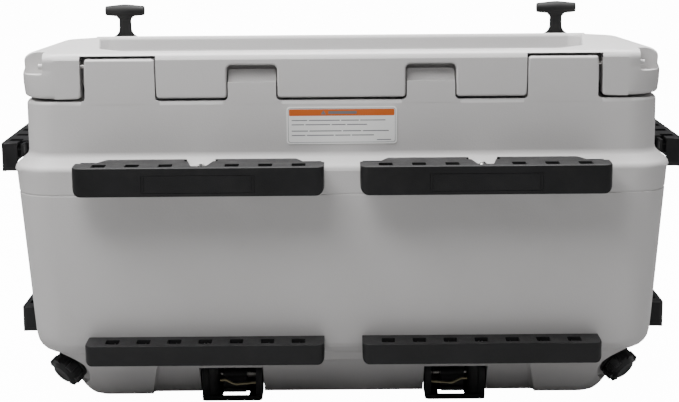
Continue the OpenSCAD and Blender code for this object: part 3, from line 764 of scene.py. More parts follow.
tray_floor = lid_top - 31.5
upper_half = lid_half - 2.6        # the lid's sides step in above the finger groove
lid_rings = [tray_ring(out, z) for out, z in (
    (-6.5, tray_floor), (-3.4, tray_floor + 0.8), (-1.7, tray_floor + 3), (-1.1, tray_floor + 7),
    (0, lid_top - 5), (0.6, lid_top - 2.6), (1.9, lid_top - 0.8), (4, lid_top))]
lid_rings += [eight_ring(upper_half - dx, front_y + dy, rear_y - dy * 1.2, r, lid_top - dz)
              for dx, dy, r, dz in ((14, 7.6, 34, 0), (9.2, 4.9, 37, 1.0), (5, 2.6, 39, 3.0),
                                    (2, 1.0, 40.5, 5.6), (0.5, 0.2, 41, 8.2), (0, 0, 41.5, 11))]
lid_rings += [eight_ring(lid_half - dx, front_y + dy, rear_y - dy, 44, z)
              for dx, dy, z in ((2.6, 0, 426), (2.2, 0, 424), (0.9, 0, 421.4), (0, 0, 418), (0.3, 0, 408),
                                (1.6, 0, 396), (2.2, 0.5, 393.4), (3.6, 1.8, 391.8), (5.8, 4, skirt_z))]
lid_rings += [eight_ring(371, -126.5, 176, 30, skirt_z), eight_ring(369, -124.5, 174, 28.5, skirt_z + 1),
              eight_ring(368.5, -124, 173.5, 28, skirt_z + 3), eight_ring(368.5, -124, 173.5, 28, 405),
              eight_ring(365.3, -92.3, 170.3, 26.3, 405), eight_ring(365.3, -92.3, 170.3, 26.3, 408.3),
              eight_ring(334.3, -64.3, 138.3, 16.3, 408.3), eight_ring(334.3, -64.3, 138.3, 16.3, 409.3)]
lid = loft(lid_rings)
for vert in lid.verts:
    if vert.co.z > 427:
        back = max(0, vert.co.y + 104)
        vert.co.z -= back / 289 * 8 * min(1, (vert.co.z - 427) / 10)
        if abs(vert.co.x) > 338:
            vert.co.z -= back / 289 * 2.2 * min(1, (vert.co.z - 427) / 10)
print("lid loft:", len(lid.faces), "faces")

# %% [markdown]
# The front of the skirt is a comb that meshes with the tub's teeth. It is easiest to saw the whole
# strip out and set in new tabs as rounded outlines: their edges can then be softened before they are
# fused, which a bevel on the finished lid could not do cleanly.

# %% The lid's comb
comb_half = 341
strip = block((-comb_half, front_y - 1, skirt_z - 2), (comb_half, -120, 436))
pocket = block((tall_tooth[0] - tab_gap, front_y - 1, 430), (tall_tooth[1] + corner_gap, -120, 441.9))
pockets = [placed(copied(pocket), sides_turned[s]) for s in (-1, 1)]
lid = cut(lid, fuse(strip, *pockets))
tab_back = -118
notch_in, notch_out = low_tooth[0] - tab_gap, low_tooth[1] + tab_gap
notch_top = 430.4
tab_end = tall_tooth[0] - tab_gap
middle_tabs = prism(
    [(-tab_end, front_y - proud, skirt_z), (-notch_out, front_y - proud, skirt_z),
     (-notch_out, front_y - proud, notch_top), (-notch_in, front_y - proud, notch_top),
     (-notch_in, front_y - proud, skirt_z), (notch_in, front_y - proud, skirt_z),
     (notch_in, front_y - proud, notch_top), (notch_out, front_y - proud, notch_top),
     (notch_out, front_y - proud, skirt_z), (tab_end, front_y - proud, skirt_z),
     (tab_end, front_y - proud, 437), (-tab_end, front_y - proud, 437)],
    [4, 4, 6.5, 6.5, 4, 4, 6.5, 6.5, 4, 4, 0, 0], (0, tab_back - front_y, 0), segments=6)
soften(middle_tabs, 2.6, lambda p: p.y < front_y and p.z < 435, segments=4, angle=50)
tabs = [middle_tabs]
for side in (-1, 1):
    inner = tall_tooth[1] + corner_gap
    end_block = prism([(inner, front_y - proud, skirt_z), (comb_half + 1, front_y - proud, skirt_z),
                       (comb_half + 1, front_y - proud, 437), (inner, front_y - proud, 437)],
                      [4, 0, 0, 0], (0, tab_back - front_y, 0))
    soften(end_block, 3, lambda p: p.y < front_y and p.x < comb_half and p.z < 435.5, segments=4, angle=50)
    tabs.append(placed(end_block, sides_turned[side]))
lid = fuse(lid, *tabs)
print("lid with its tabs:", len(lid.faces), "faces")
groove_low = (lid_half - 30.5, 419.5)
grooves = []
for side in (-1, 1):
    groove = block((groove_low[0], front_y - 5, groove_low[1]), (lid_half + 5, -119, lid_top + 9))
    soften(groove, 4.5, lambda p: p.x < lid_half and p.z < lid_top, segments=5, angle=50)
    bore_end = x_rod(groove_low[0] - 9, groove_low[0] + 6, hinge.y, hinge.z, 3.4, 24)
    grooves += [placed(groove, sides_turned[side]), placed(bore_end, sides_turned[side])]
lid = cut(lid, *grooves)
keeper_gap = [prism([(s * 300 - 36, 160, skirt_z - 2), (s * 300 + 36, 160, skirt_z - 2),
                     (s * 300 + 36, 160, 413), (s * 300 - 36, 160, 413)], [0, 0, 5, 5], (0, 40, 0))
              for s in (-1, 1)]
lid = cut(lid, *keeper_gap)
piece("lid_skin", lid, tub_finish, "lid", "tub_plastic", "lid_shell")

# %% [markdown]
# The lid carries its own white plug, a square-section gasket, and a ribbed foam mat in the tray. The
# plug is a shallow dish; the gasket is a closed bead; the mat gets grooves cut in
# its top, so that a fish or a knife doesn't slide.

# %% Lid plug, gasket and mat
plug = loft([rect_ring(333.9, -63.9, 137.9, 16, 383.25), rect_ring(333.9, -63.9, 137.9, 16, 408),
             rect_ring(365, -92, 170, 26, 408), rect_ring(365, -92, 170, 26, 405.4),
             rect_ring(364.6, -91.6, 169.6, 25.6, 405), rect_ring(341, -71, 145, 21, 405),
             rect_ring(338, -68, 142, 19.4, 403.6), rect_ring(337, -67, 141, 19, 401),
             rect_ring(337, -67, 141, 19, 386), rect_ring(336, -66, 140, 18, 382.6),
             rect_ring(333.4, -63.4, 137.4, 16.4, 380.7), rect_ring(329, -59, 133, 14, 380)])
piece("lid_plug", plug, liner_finish, "lid", "liner_plastic", "lid_liner")
seal_section = [(361, 405), (361.6, 404), (361, 402.9), (358.4, 402.4), (355.5, 402.35), (352.6, 402.4),
                (350, 402.9), (349.4, 404), (350, 405)]


def seal_ring(half, z):
    inset = 361 - half
    return rect_ring(half - 0.8, -91 + inset + 0.8, 166 - inset - 0.8, 24 - inset * 0.4, z)


seal_bm = bmesh.new()
seal_loops = []
for half, z in seal_section:
    points, size = seal_ring(half, z)
    face = outline(seal_bm, points, [size] * 4, 8)
    seal_loops.append(list(face.edges))
    bmesh.ops.delete(seal_bm, geom=[face], context="FACES_ONLY")
for one, other in zip(seal_loops, seal_loops[1:] + seal_loops[:1]):
    bmesh.ops.bridge_loops(seal_bm, edges=one + other)
bmesh.ops.recalc_face_normals(seal_bm, faces=seal_bm.faces)
piece("lid_gasket_bead", seal_bm, gasket_finish, "lid", "black_rubber", "lid_gasket")
mat_low, mat_high = span("lid_mat")
mat_plan = tray_ring(-5, mat_low.z)[0]
mat = prism([(x, y, mat_low.z) for x, y, z in mat_plan], [9, 9, 9, 9, 6, 6, 9, 9],
            (0, 0, mat_high.z - mat_low.z))
grooves = [block((-400, y - 1.1, mat_high.z - 1), (400, y + 1.1, mat_high.z + 3))
           for y in range(-96, 156, 12)]
rim_keep = prism([(x, y, mat_low.z - 5) for x, y, z in tray_ring(-13, 0)[0]], [7] * 8, (0, 0, 30))
mat = cut(mat, shared(merged(*grooves), rim_keep))
soften(mat, 0.45, lambda p: p.z > mat_high.z - 0.2, segments=2)
piece("ribbed_mat", mat, mat_finish, "lid", "mat_rubber", "lid_mat")

# %% [markdown]
# ## The tool rails
# Four rails on the front and two on each side take pliers, knives and rod holders. Each is an
# injection moulding in glass-filled nylon: a slotted shelf with a deep outer face, open at the back
# and below, with ribs under the shelf and a flange that is screwed to the tub. The plan outline and
# the front outline are drawn separately and intersected, which rounds the lower corners and the
# upper corners independently, as the mould does.

# %% Rail body


def rail_body(length, depth, height, plan, plan_rounds, corner_r, wall=4.0):
    """A rail drawn with its rear edge on Y = 0, reaching to -Y, centred on X = 0, its top on Z = 0."""
    half = length / 2
    body = prism([(x, y, -height) for x, y in plan], plan_rounds, (0, 0, height))
    face = prism([(-half, -depth - 5, -height), (half, -depth - 5, -height), (half, -depth - 5, 1),
                  (-half, -depth - 5, 1)], [corner_r, corner_r, 0, 0], (0, depth + 10, 0))
    body = shared(body, face)
    soften(body, 1.4, lambda p: p.z > -0.5 and p.y < -depth * 0.62, segments=3, angle=60)
    inner = prism([(-half + wall, -depth + wall, -height - 2), (half - wall, -depth + wall, -height - 2),
                   (half - wall, 20, -height - 2), (-half + wall, 20, -height - 2)],
                  [max(2, corner_r - wall), max(2, corner_r - wall), 0, 0], (0, 0, height + 2 - wall))
    return cut(body, inner)


def slots(count, pitch, width, y0, y1, skip_middle=False):
    cutters = []
    for i in range(count):
        x = (i - (count - 1) / 2) * pitch
        if skip_middle and abs(x) < 1:
            continue
        cutters.append(prism([(x - width / 2, y0, -12), (x + width / 2, y0, -12), (x + width / 2, y1, -12),
                              (x - width / 2, y1, -12)], [2.2] * 4, (0, 0, 14), segments=4))
    return cutters


def ribs(xs, y0, y1, z0, z1, t=2.4):
    return [block((x - t / 2, y0, z0), (x + t / 2, y1, z1)) for x in xs]


def finish_rail(name, body, matrix):
    rail = placed(body, matrix)
    return piece(name + "_body", rail, nylon_finish, "tub", "black_plastic", name)


# %% Upper front rails
upper_low, upper_high = span("right_upper_front_rail")
upper_len = upper_high.x - upper_low.x
upper_depth = upper_high.y - upper_low.y
upper_h = upper_high.z - upper_low.z
half = upper_len / 2
upper_plan = [(-half, -27), (-half, -upper_depth), (half, -upper_depth), (half, -27),
              (half - 23, -27), (half - 34, 0), (17.5, 0), (8.5, -52), (-8.5, -52), (-17.5, 0),
              (34 - half, 0), (23 - half, -27)]
upper_rounds = [1, 10, 10, 1, 2, 3, 2.5, 4, 4, 2.5, 3, 2]
for name, side in SIDES:
    low, high = span(f"{name}_upper_front_rail")
    rail = rail_body(upper_len, upper_depth, upper_h, upper_plan, upper_rounds, 10)
    shelf_slots = slots(7, 39, 16.5, -55, -36.5, True)
    seat = block((-66, -upper_depth - 1, -30), (66, -upper_depth + 1.2, -9))
    flange = soften(block((-half + 3, -12, -32), (half - 3, -8, -2)), 1.2, segments=2)
    stiff = ribs([x + 19.5 for x in range(-136, 117, 39)], -upper_depth + 2, -10, -20, -3)
    holes = [rod((x, -20, -11), (x, -4, -11), 2.7, segments=24) for x in (-108, 0, 108)]
    holes.append(block((-20, -15.9, -7), (20, -4, 3)))
    rail = fuse(rail, flange, *stiff)
    rail = cut(rail, seat, *shelf_slots)
    rail = cut(rail, *holes)
    place = Matrix.Translation(((low.x + high.x) / 2, high.y, high.z))
    finish_rail(f"{name}_upper_front_rail", rail, place)
    panel_low, panel_high = span(f"{name}_rail_panel")
    panel = soften(block(panel_low, panel_high), 0.5, segments=2)
    trim = [block((x, panel_low.y - 0.3, panel_low.z + 1.8), (x + 1.6, panel_low.y + 0.7, panel_high.z - 1.8))
            for x in (panel_low.x + 2.4, panel_high.x - 4)]
    panel = cut(panel, *trim)
    piece(f"{name}_rail_insert_panel", panel, nylon_finish, "tub", "black_plastic", f"{name}_rail_panel")

# %% Lower front rails
for name, side in SIDES:
    low, high = span(f"{name}_lower_front_rail")
    length, depth, height = high - low
    half = length / 2
    plan = [(-half, 0), (-half, -depth), (half, -depth), (half, 0)]
    rail = rail_body(length, depth, height, plan, [1, 8, 8, 1], 8)
    flange = soften(block((-half + 2, -4, -height), (half - 2, 0, -1)), 1, segments=2)
    stiff = ribs([x + 18.75 for x in (-131.25, -93.75, -56.25, -18.75, 18.75, 56.25, 93.75)],
                 -depth + 2, -2, -15, -3)
    rail = fuse(rail, flange, *stiff)
    rail = cut(rail, *slots(7, 37.5, 16.5, -31, -13))
    rail = cut(rail, *[rod((x, -12, -13), (x, 3, -13), 2.7, segments=24) for x in (-94, 0, 94)])
    finish_rail(f"{name}_lower_front_rail", rail,
                Matrix.Translation(((low.x + high.x) / 2, high.y, high.z)))

# %% [markdown]
# The side rails are the same idea turned a quarter. The upper one has to reach in over the tub's
# sloping ledge, so its ends are cut back at a slant, and its flange hangs from a step below the
# shelf.

# %% Side rails
for name, side in SIDES:
    for level, flange_y in (("upper", -17.6), ("lower", -4)):
        node = f"{name}_{level}_side_rail"
        low, high = span(node)
        depth, length, height = high - low
        half = length / 2
        if level == "upper":
            plan = [(-half, -25), (-half, -depth), (half, -depth), (half, -25), (half - 22, -25),
                    (half - 33, 0), (33 - half, 0), (22 - half, -25)]
            rounds = [1, 8, 8, 1, 2, 3, 3, 2]
        else:
            plan = [(-half, 0), (-half, -depth), (half, -depth), (half, 0)]
            rounds = [1, 8, 8, 1]
        rail = rail_body(length, depth, height, plan, rounds, 8)
        hanger = [block((-half + 3, flange_y, -height), (half - 3, flange_y + 4, -16)),
                  block((-half + 3, flange_y - 3, -18), (half - 3, flange_y + 0.5, -2))]
        rail = fuse(rail, *hanger, *ribs((-66, -22, 22, 66), -depth + 2, flange_y - 1, -22, -3))
        rail = cut(rail, *slots(4, 44, 16.5, -depth + 7, flange_y - 5))
        rail = cut(rail, *[rod((x, flange_y - 10, -25), (x, flange_y + 8, -25), 2.7, segments=24)
                           for x in (-70, 70)])
        inner = low.x if side > 0 else high.x
        turn = Matrix.Rotation(math.radians(90), 4, "Z")
        place = Matrix.Translation((inner, (low.y + high.y) / 2, high.z)) @ turn
        if side < 0:
            place = MIRROR_X @ Matrix.Translation((-inner, (low.y + high.y) / 2, high.z)) @ turn
        finish_rail(node, rail, place)

# %% [markdown]
# ## Fasteners
# Every rail is held by truss-head screws in brass inserts. A turned profile gives the low dome of the
# head, and a six-sided prism sinks the drive socket. The same screw, smaller, holds the latch parts.

# %% Screws


def screw(head_r, head_h, shank_r, shank_l, drive):
    """A truss-head screw standing on Z = 0 with its shank below, and a hexagon socket."""
    bm = turned([(0, -shank_l), (shank_r - 0.4, -shank_l), (shank_r, -shank_l + 0.6), (shank_r, 0),
                 (head_r - 0.3, 0), (head_r, 0.3), (head_r * 0.93, head_h * 0.55),
                 (head_r * 0.7, head_h * 0.87), (head_r * 0.4, head_h), (0, head_h)], 32)
    socket = rod((0, 0, head_h * 0.35), (0, 0, head_h + 1), drive, segments=6)
    return cut(bm, socket)


def facing(at, out):
    return Matrix.Translation(at) @ Vector(out).to_track_quat("Z", "Y").to_matrix().to_4x4()


def set_of(one, places):
    """Copies one part to every (centre, outward direction) and joins them into one piece."""
    copies = [placed(copied(one), facing(at, out)) for at, out in places]
    one.free()
    return merged(*copies)


rail_screw = screw(6.5, 3, 2.4, 15, 2.3)
piece("rail_screw_set", set_of(rail_screw, rail_screw_places), steel_finish, "tub", "steel", "rail_screws")
keeper_low, keeper_high = span("right_latch_keeper")
keeper_x = (keeper_low.x + keeper_high.x) / 2
keeper_screw_at = [(Vector((s * keeper_x + x, rear_y + 3.5, 366)), (0, 1, 0))
                   for s in (-1, 1) for x in (-15, 15)]
keeper_screw = screw(4.5, 2.4, 2.4, 9, 1.7)
piece("keeper_screw_set", set_of(keeper_screw, keeper_screw_at), steel_finish, "tub", "steel",
      "keeper_screws")
mount_screw_at = [(Vector((s * keeper_x + x, rear_y + 4, latch_pivot.z - 4)), (0, 1, 0))
                  for s in (-1, 1) for x in (-17, 17)]
mount_screw = screw(3.8, 2.2, 2, 14, 1.5)
piece("mount_screw_set", set_of(mount_screw, mount_screw_at), steel_finish, "lid", "steel",
      "latch_mount_screws")

# %% [markdown]
# ## The T-latches
# Each latch is one rubber moulding: a barrel on a steel pin, a flat stem, and a T-shaped pull that
# thickens to the middle. The three shapes are fused, melted together with a fine voxel remesh, and
# smoothed. That makes the fillets a mould would have. The pin's bore is cut afterwards, so it stays
# true to size.

# %% Latch
pull_z = 43
blend_size = 0.9


def melted(bm, size, rounds):
    """Remeshes a closed shape on a fine grid and relaxes it, so that inner corners become fillets."""
    holder = stand_in(bm, "melt")
    remesh = holder.modifiers.new("remesh", "REMESH")
    remesh.mode = "VOXEL"
    remesh.voxel_size = size
    relax = holder.modifiers.new("relax", "SMOOTH")
    relax.factor = 0.5
    relax.iterations = rounds
    shaped = holder.evaluated_get(bpy.context.evaluated_depsgraph_get())
    result = bmesh.new()
    result.from_mesh(shaped.to_mesh())
    shaped.to_mesh_clear()
    mesh = holder.data
    bpy.data.objects.remove(holder)
    bpy.data.meshes.remove(mesh)
    return result


def latch_shape():
    barrel = soften(x_rod(-20.5, 20.5, 0, 0, 5.6, 40), 0.8, segments=2)
    stem = prism([(-20.3, -3.5, 0), (20.3, -3.5, 0), (20.3, -3.5, 5), (13, -3.5, 9), (8.5, -3.5, 14),
                  (8, -3.5, 38), (-8, -3.5, 38), (-8.5, -3.5, 14), (-13, -3.5, 9), (-20.3, -3.5, 5)],
                 [0, 0, 2, 3, 4, 0, 0, 4, 3, 2], (0, 7, 0))
    pull = [placed(turned([(0, 0), (9, 0), (8.9, 4), (6.6, 26), (5.7, 27.3), (0, 27.4)], 40),
                   Matrix.Translation((0, 0, pull_z)) @ Matrix.Rotation(math.radians(s * 90), 4, "Y"))
            for s in (-1, 1)]
    collar = soften(block((-11, -5.5, 32), (11, 5.5, 44)), 2.5)
    return cut(melted(fuse(barrel, stem, pull[0], pull[1], collar), blend_size, 5),
               x_rod(-30, 30, 0, 0, 2.06, 32))


latch = latch_shape()
for name, side in SIDES:
    at = Vector((side * abs(latch_pivot.x), latch_pivot.y, latch_pivot.z))
    piece(f"{name}_latch_pull", placed(copied(latch), Matrix.Translation(at)), rubber_finish,
          f"{name}_latch", "black_rubber", f"{name}_latch", crisp=60)
    back = rear_y - latch_pivot.y
    plate = soften(prism([(-26, back, -11), (26, back, -11), (26, back, 7), (-26, back, 7)], [3] * 4,
                         (0, 4, 0)), 0.8, lambda p: p.y > back + 3.9, segments=2)
    ears = [prism([(x, back + 1, -7), (x, 0, -7), (x, 7, -7), (x, 7, 7), (x, 0, 7), (x, back + 1, 7)],
                  [0, 0, 5.5, 5.5, 0, 0], (5, 0, 0)) for x in (-26, 21)]
    mount = cut(fuse(plate, *ears), x_rod(-30, 30, 0, 0, 2.05, 32),
                *[rod((x, back - 2, -4), (x, back + 9, -4), 2.1, segments=20) for x in (-17, 17)])
    soften(mount, 0.5, lambda p: p.y > back + 5 and abs(p.y) + abs(p.z) > 3, segments=2, angle=60)
    piece(f"{name}_latch_saddle", placed(mount, Matrix.Translation(at)), nylon_finish, "lid",
          "black_plastic", f"{name}_latch_mount")
    pin = soften(x_rod(latch_pin_low.x - latch_pivot.x, latch_pin_high.x - latch_pivot.x, 0, 0,
                       (latch_pin_high.z - latch_pin_low.z) / 2, 32), 0.4, segments=2)
    piece(f"{name}_latch_hinge_pin", placed(pin, Matrix.Translation(at)), steel_finish, "lid", "steel",
          f"{name}_latch_pin")

# %% [markdown]
# The hooks that the latches pull down on are screwed to the back of the tub. A plate with two prongs
# leaves a slot for the latch's stem, and small webs brace the prongs from below.

# %% Latch keepers
for name, side in SIDES:
    low, high = span(f"{name}_latch_keeper")
    middle = (low.x + high.x) / 2
    plate = soften(prism([(middle - 26, rear_y, 358), (middle + 26, rear_y, 358), (middle + 26, rear_y, 409),
                          (middle - 26, rear_y, 409)], [5, 5, 3, 3], (0, 3.5, 0)), 0.8,
                   lambda p: p.y > rear_y + 3, segments=2)
    prongs = [soften(block((middle + x, rear_y + 1, 400.5), (middle + x + 14, high.y, high.z - 0.5)), 2.2,
                     lambda p: p.y > rear_y + 5, segments=3) for x in (-24, 10)]
    webs = [prism([(middle + x, rear_y + y, z) for y, z in ((3, 402), (3, 384), (18, 402))],
                  [0, 0, 0], (3, 0, 0)) for x in (-22, 19)]
    keeper = cut(fuse(plate, *prongs, *webs),
                 *[rod((middle + x, rear_y - 2, 366), (middle + x, rear_y + 9, 366), 2.7, segments=24)
                   for x in (-15, 15)])
    piece(f"{name}_latch_hook", keeper, nylon_finish, "tub", "black_plastic", f"{name}_latch_keeper")

# %% [markdown]
# ## The drains
# The lower front corners each have a drain: a flanged spout through both walls, a nut that clamps it
# from inside, a flat rubber washer, and a cap with six lugs that a wet hand can turn. The cap's parts
# are turned, and the lugs are rounded blocks around it.

# %% Drain parts


def ring_turned(profile, segments=48):
    """Spins a closed profile of (radius, height) points about Z."""
    bm = bmesh.new()
    points = [bm.verts.new((r, 0, z)) for r, z in profile]
    edges = [bm.edges.new(pair) for pair in zip(points, points[1:] + points[:1])]
    bmesh.ops.spin(bm, geom=points + edges, cent=(0, 0, 0), axis=(0, 0, 1), angle=math.tau,
                   steps=segments, use_merge=True)
    bmesh.ops.remove_doubles(bm, verts=bm.verts, dist=0.001)
    bmesh.ops.recalc_face_normals(bm, faces=bm.faces)
    return bm


spout_profile = [(10, -58), (12.4, -58), (13, -57.4), (13, -0.05), (21.5, 0), (21.5, 3), (20.6, 4), (15.6, 4),
                 (15.1, 4.6), (14.9, 5.6)]
for z in (7, 9, 11, 13, 15):
    spout_profile += [(14.9, z), (14.2, z + 0.6), (14.2, z + 1), (14.9, z + 1.6)]
spout_profile += [(14.9, 17.2), (14.2, 18), (10.6, 18), (10, 17.4)]
washer_profile = [(15.3, 4.6), (15.7, 4.2), (17.6, 4.2), (18, 4.6), (18, 6.3), (17.6, 6.7), (15.7, 6.7),
                  (15.3, 6.3)]
cap_profile = [(15.4, 6.8), (19.3, 6.8), (20, 7.5), (20, 16), (19.6, 16.8), (15.8, 20.2), (13.4, 22.2),
               (12.4, 22.7), (8.4, 22.8), (7.5, 22.2), (5.5, 21.6), (0, 21.5)]
cap = turned([(0, 18.6)] + [(15.4, 18.6)] + cap_profile, 64)
lugs = []
for turn in range(0, 360, 60):
    lug = block((15.8, -4.5, 6.81), (23.2, 4.5, 18.8))
    soften(lug, 1.6, lambda p: p.x > 20, segments=3)
    lugs.append(placed(lug, Matrix.Rotation(math.radians(turn), 4, "Z")))
cap = fuse(cap, *lugs)
dimple = rod((24.3, 0, 5), (24.3, 0, 25), 5.2, segments=32)
dimples = [placed(copied(dimple), Matrix.Rotation(math.radians(turn), 4, "Z"))
           for turn in range(30, 360, 60)]
cap = cut(cap, *dimples)
nut = cut(placed(rod((0, 0, -30), (0, 0, -21), 21, segments=8), Matrix.Rotation(math.radians(22.5), 4, "Z")),
          rod((0, 0, -31), (0, 0, -20), 13.05, segments=40))
soften(nut, 1, lambda p: p.xy.length > 18, segments=2)
for name, side in SIDES:
    seat = sides_turned[side] @ drain_turn
    for label, shape, used, body, slot, node in (
            ("spout_body", ring_turned(spout_profile), nylon_finish, "tub", "black_plastic", "drain_spout"),
            ("spout_washer", ring_turned(washer_profile), gasket_finish, f"{name}_drain_seal",
             "black_rubber", "drain_washer"),
            ("lugged_cap", copied(cap), nylon_finish, f"{name}_drain_cap", "black_plastic", "drain_cap"),
            ("clamp_nut", copied(nut), nylon_finish, "tub", "black_plastic", "drain_nut")):
        piece(f"{name}_{label}", placed(shape, seat), used, body, slot, f"{name}_{node}")

# %% [markdown]
# ## The quick-attach base
# Two brackets under the front edge drop over strikers on the deck. A spring-loaded pawl on a steel
# pin snaps under the striker, and a bent leaf takes up the play. Two plain feet stand at the back.

# %% Attach brackets
attach_y = attach_low.y + 32
pivot_y, pivot_z = -12, 30
for name, side in SIDES:
    low, high = span(f"{name}_attach_bracket")
    seat_top = high.z
    at = Matrix.Translation(((low.x + high.x) / 2, attach_y, low.z))
    if side > 0:
        at = at @ MIRROR_X
    foot = prism([(-38, -32, 0), (38, -32, 0), (38, 16, 0), (-38, 16, 0)], [6, 6, 0, 0], (0, 0, 6))
    soften(foot, 1.2, lambda p: p.z > 5.9, segments=2)
    cheeks = [prism([(x, -28, 4), (x, 16, 4), (x, 16, seat_top), (x, -22, seat_top), (x, -28, seat_top - 9)],
                    [0, 0, 0, 5, 5], (8, 0, 0)) for x in (-38, 30)]
    top = soften(block((-38, -22, seat_top - 5), (38, 16, seat_top)), 1.2, lambda p: p.y < -20, segments=3)
    wall = block((-38, 10, 5), (38, 16, seat_top - 1))
    lobe = soften(rod((-26, -16, 5), (-26, -16, seat_top - 4.2), 11, segments=40), 1.4,
                  lambda p: p.z > seat_top - 6, segments=3)
    bracket = fuse(foot, *cheeks, top, wall, lobe)
    bracket = cut(bracket, x_rod(-50, 50, pivot_y, pivot_z, 3.05, 32), block((-13, -26, -1), (21, 8, 7)),
                  *[rod((x, 1, seat_top - 8), (x, 1, seat_top + 4), 3.1, segments=24) for x in (-12, 22)])
    soften(bracket, 0.7, lambda p: 6 < p.z < seat_top - 6 and p.y < -24, segments=2, angle=60)
    piece(f"{name}_attach_frame", placed(bracket, at), nylon_finish, "tub", "black_plastic",
          f"{name}_attach_bracket")
    pin = soften(x_rod(-38, 38, pivot_y, pivot_z, 3, 32), 0.5, segments=2)
    piece(f"{name}_pivot_pin", placed(pin, at), steel_finish, "tub", "steel", f"{name}_attach_pin")
    hub = soften(x_rod(-12, 18, pivot_y, pivot_z, 7, 40), 0.7, segments=2)
    pawl = fuse(hub, soften(block((-11.99, -17.99, 11.5), (17.99, -11.01, 31)), 0.8, segments=2),
                soften(block((-12, -23, 8), (18, -11, 14)), 1.6, segments=3))
    pawl = cut(pawl, x_rod(-20, 40, pivot_y, pivot_z, 3.06, 32))
    piece(f"{name}_hook_pawl", placed(pawl, at), nylon_finish, f"{name}_pawl", "black_plastic",
          f"{name}_attach_pawl")
    coils = [placed(ring_turned([(3.45, z + 0.1), (4.3, z - 0.75), (5.15, z + 0.1), (4.3, z + 0.95)], 28),
                    Matrix.Translation((0, pivot_y, pivot_z)) @ Matrix.Rotation(math.radians(90), 4, "Y"))
             for z in [18.6 + 0.95 + 1.62 * i for i in range(6)]]
    piece(f"{name}_pawl_coil", placed(merged(*coils), at), steel_finish, "tub", "steel",
          f"{name}_pawl_spring")
    leaf = prism([(x, -24.5, z) for x, z in ((-15.2, 27), (-8, 27.4), (4, 21.4), (30, 23.4), (30, 21.6),
                                             (4, 19.4), (-8.4, 25.5), (-15.2, 25.2))],
                 [0.5, 1.6, 2.6, 0, 0, 2.6, 1.6, 0.5], (0, -5, 0))
    soften(leaf, 0.35, segments=2, angle=60)
    piece(f"{name}_strike_leaf", placed(leaf, at), leaf_finish, "tub", "leaf_steel", f"{name}_attach_leaf")
    low, high = span(f"{name}_rear_bracket")
    middle = (low + high) / 2
    foot = prism([(low.x, low.y, low.z), (high.x, low.y, low.z), (high.x, high.y, low.z),
                  (low.x, high.y, low.z)], [5] * 4, (0, 0, high.z - low.z))
    soften(foot, 1, lambda p: p.z < low.z + 1, segments=2)
    foot = cut(foot, *[rod((middle.x + x, middle.y, z0), (middle.x + x, middle.y, z1), r, segments=28)
                       for x in (-22, 22) for z0, z1, r in ((-1, 19, 3.1), (-1, 4, 6.2))])
    piece(f"{name}_rear_foot", foot, nylon_finish, "tub", "black_plastic", f"{name}_rear_bracket")


def socket_bolt(length):
    bm = turned([(0, -3.5), (5.3, -3.5), (5.8, -3), (5.8, -0.2), (5.6, 0), (3, 0), (3, length - 0.5),
                 (2.5, length), (0, length)], 32)
    return cut(bm, rod((0, 0, -4), (0, 0, -1.4), 2.6, segments=6))


foot_bolt = socket_bolt(9.5)
seat_bolt = socket_bolt(16)
rear_low, rear_high = span("right_rear_bracket")
rear_middle = (rear_low + rear_high) / 2
bolts = [placed(copied(foot_bolt), Matrix.Translation((s * rear_middle.x + x, rear_middle.y, 4)))
         for s in (-1, 1) for x in (-22, 22)]
bolts += [placed(copied(seat_bolt), Matrix.Translation((s * (attach_x - x), attach_y + 1, attach_high.z - 5)))
          for s in (-1, 1) for x in (-12, 22)]
piece("base_bolt_set", merged(*bolts), steel_finish, "tub", "steel", "bracket_bolts")

# %% [markdown]
# ## The caution label
# A printed film under the lid's middle tab. The real one carries a warning; this one keeps only its
# layout: a white film with rounded corners, a thin dark border, an orange band along the top and
# rows of plain grey bars where the lines of print would be.

# %% Label
label_low, label_high = span("caution_label")


def label_plate(x0, z0, x1, z1, y, thick, r):
    return prism([(x0, y, z0), (x1, y, z0), (x1, y, z1), (x0, y, z1)], [r] * 4, (0, -thick, 0), segments=5)


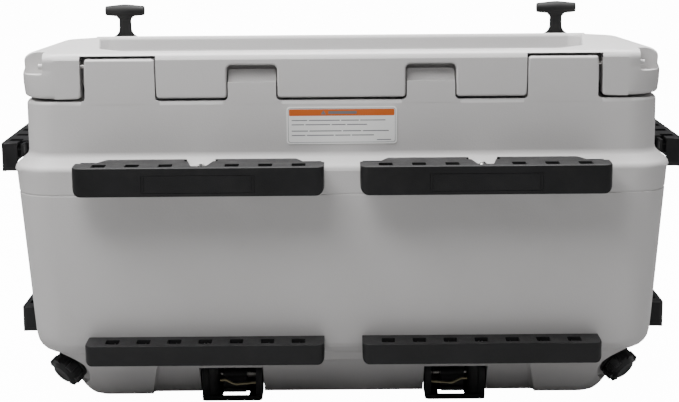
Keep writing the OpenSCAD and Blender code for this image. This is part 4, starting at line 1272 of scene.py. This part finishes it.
film_face = label_low.y + 0.12
film = label_plate(label_low.x, label_low.z, label_high.x, label_high.z, label_high.y,
                   label_high.y - film_face, 4)
piece("label_film", film, film_finish, "tub", "label_film", "caution_label")
border = cut(label_plate(label_low.x + 1.8, label_low.z + 1.8, label_high.x - 1.8, label_high.z - 1.8,
                         film_face + 0.03, 0.07, 3),
             label_plate(label_low.x + 2.3, label_low.z + 2.3, label_high.x - 2.3, label_high.z - 2.3,
                         film_face + 1, 3, 2.7))
rows = []
for row, length in enumerate((114, 92, 118, 100)):
    z = label_high.z - 17 - row * 5.2 - (2.4 if row > 1 else 0)
    start = label_low.x + 6
    for share in (0.18, 0.34, 0.2, 0.28):
        stop = start + length * share
        rows.append(label_plate(start, z, stop - 1.6, z + 1.1, film_face + 0.03, 0.07, 0.4))
        start = stop
rows.append(label_plate(label_high.x - 24, label_low.z + 4.4, label_high.x - 7, label_low.z + 5.4,
                        film_face + 0.03, 0.07, 0.4))
piece("label_print", merged(border, *rows), ink_finish, "tub", "label_film")
band = label_plate(label_low.x + 3, label_high.z - 11, label_high.x - 3, label_high.z - 3, film_face + 0.03,
                   0.08, 1.5)
piece("label_band", band, orange_finish, "tub", "label_film")
mark = label_plate(-16, label_high.z - 8.8, 18, label_high.z - 5.4, film_face, 0.09, 0.8)
sign = prism([(-25, film_face, label_high.z - 9.3), (-18.6, film_face, label_high.z - 9.3),
              (-21.8, film_face, label_high.z - 4.3)], [0.6] * 3, (0, -0.09, 0))
piece("label_band_mark", merged(mark, sign), ink_finish, "tub", "label_film")

# %% [markdown]
# ## Parts kept from the CAD model
# The foam cores, the threaded inserts, the hinge rods and their bushes are simple and mostly hidden.
# Their CAD shapes are already right, so they only get a finish.

# %% Finishes for the kept parts
for node, used in (("tub_foam", foam_finish), ("lid_foam", foam_finish), ("rail_inserts", brass_finish),
                   ("hinge_bushes", bush_finish), ("left_hinge_rod", steel_finish),
                   ("right_hinge_rod", steel_finish)):
    kept = bpy.data.objects[node]
    if kept.data.materials:
        kept.data.materials[0] = used
    else:
        kept.data.materials.append(used)
print("pieces:", len(pieces))
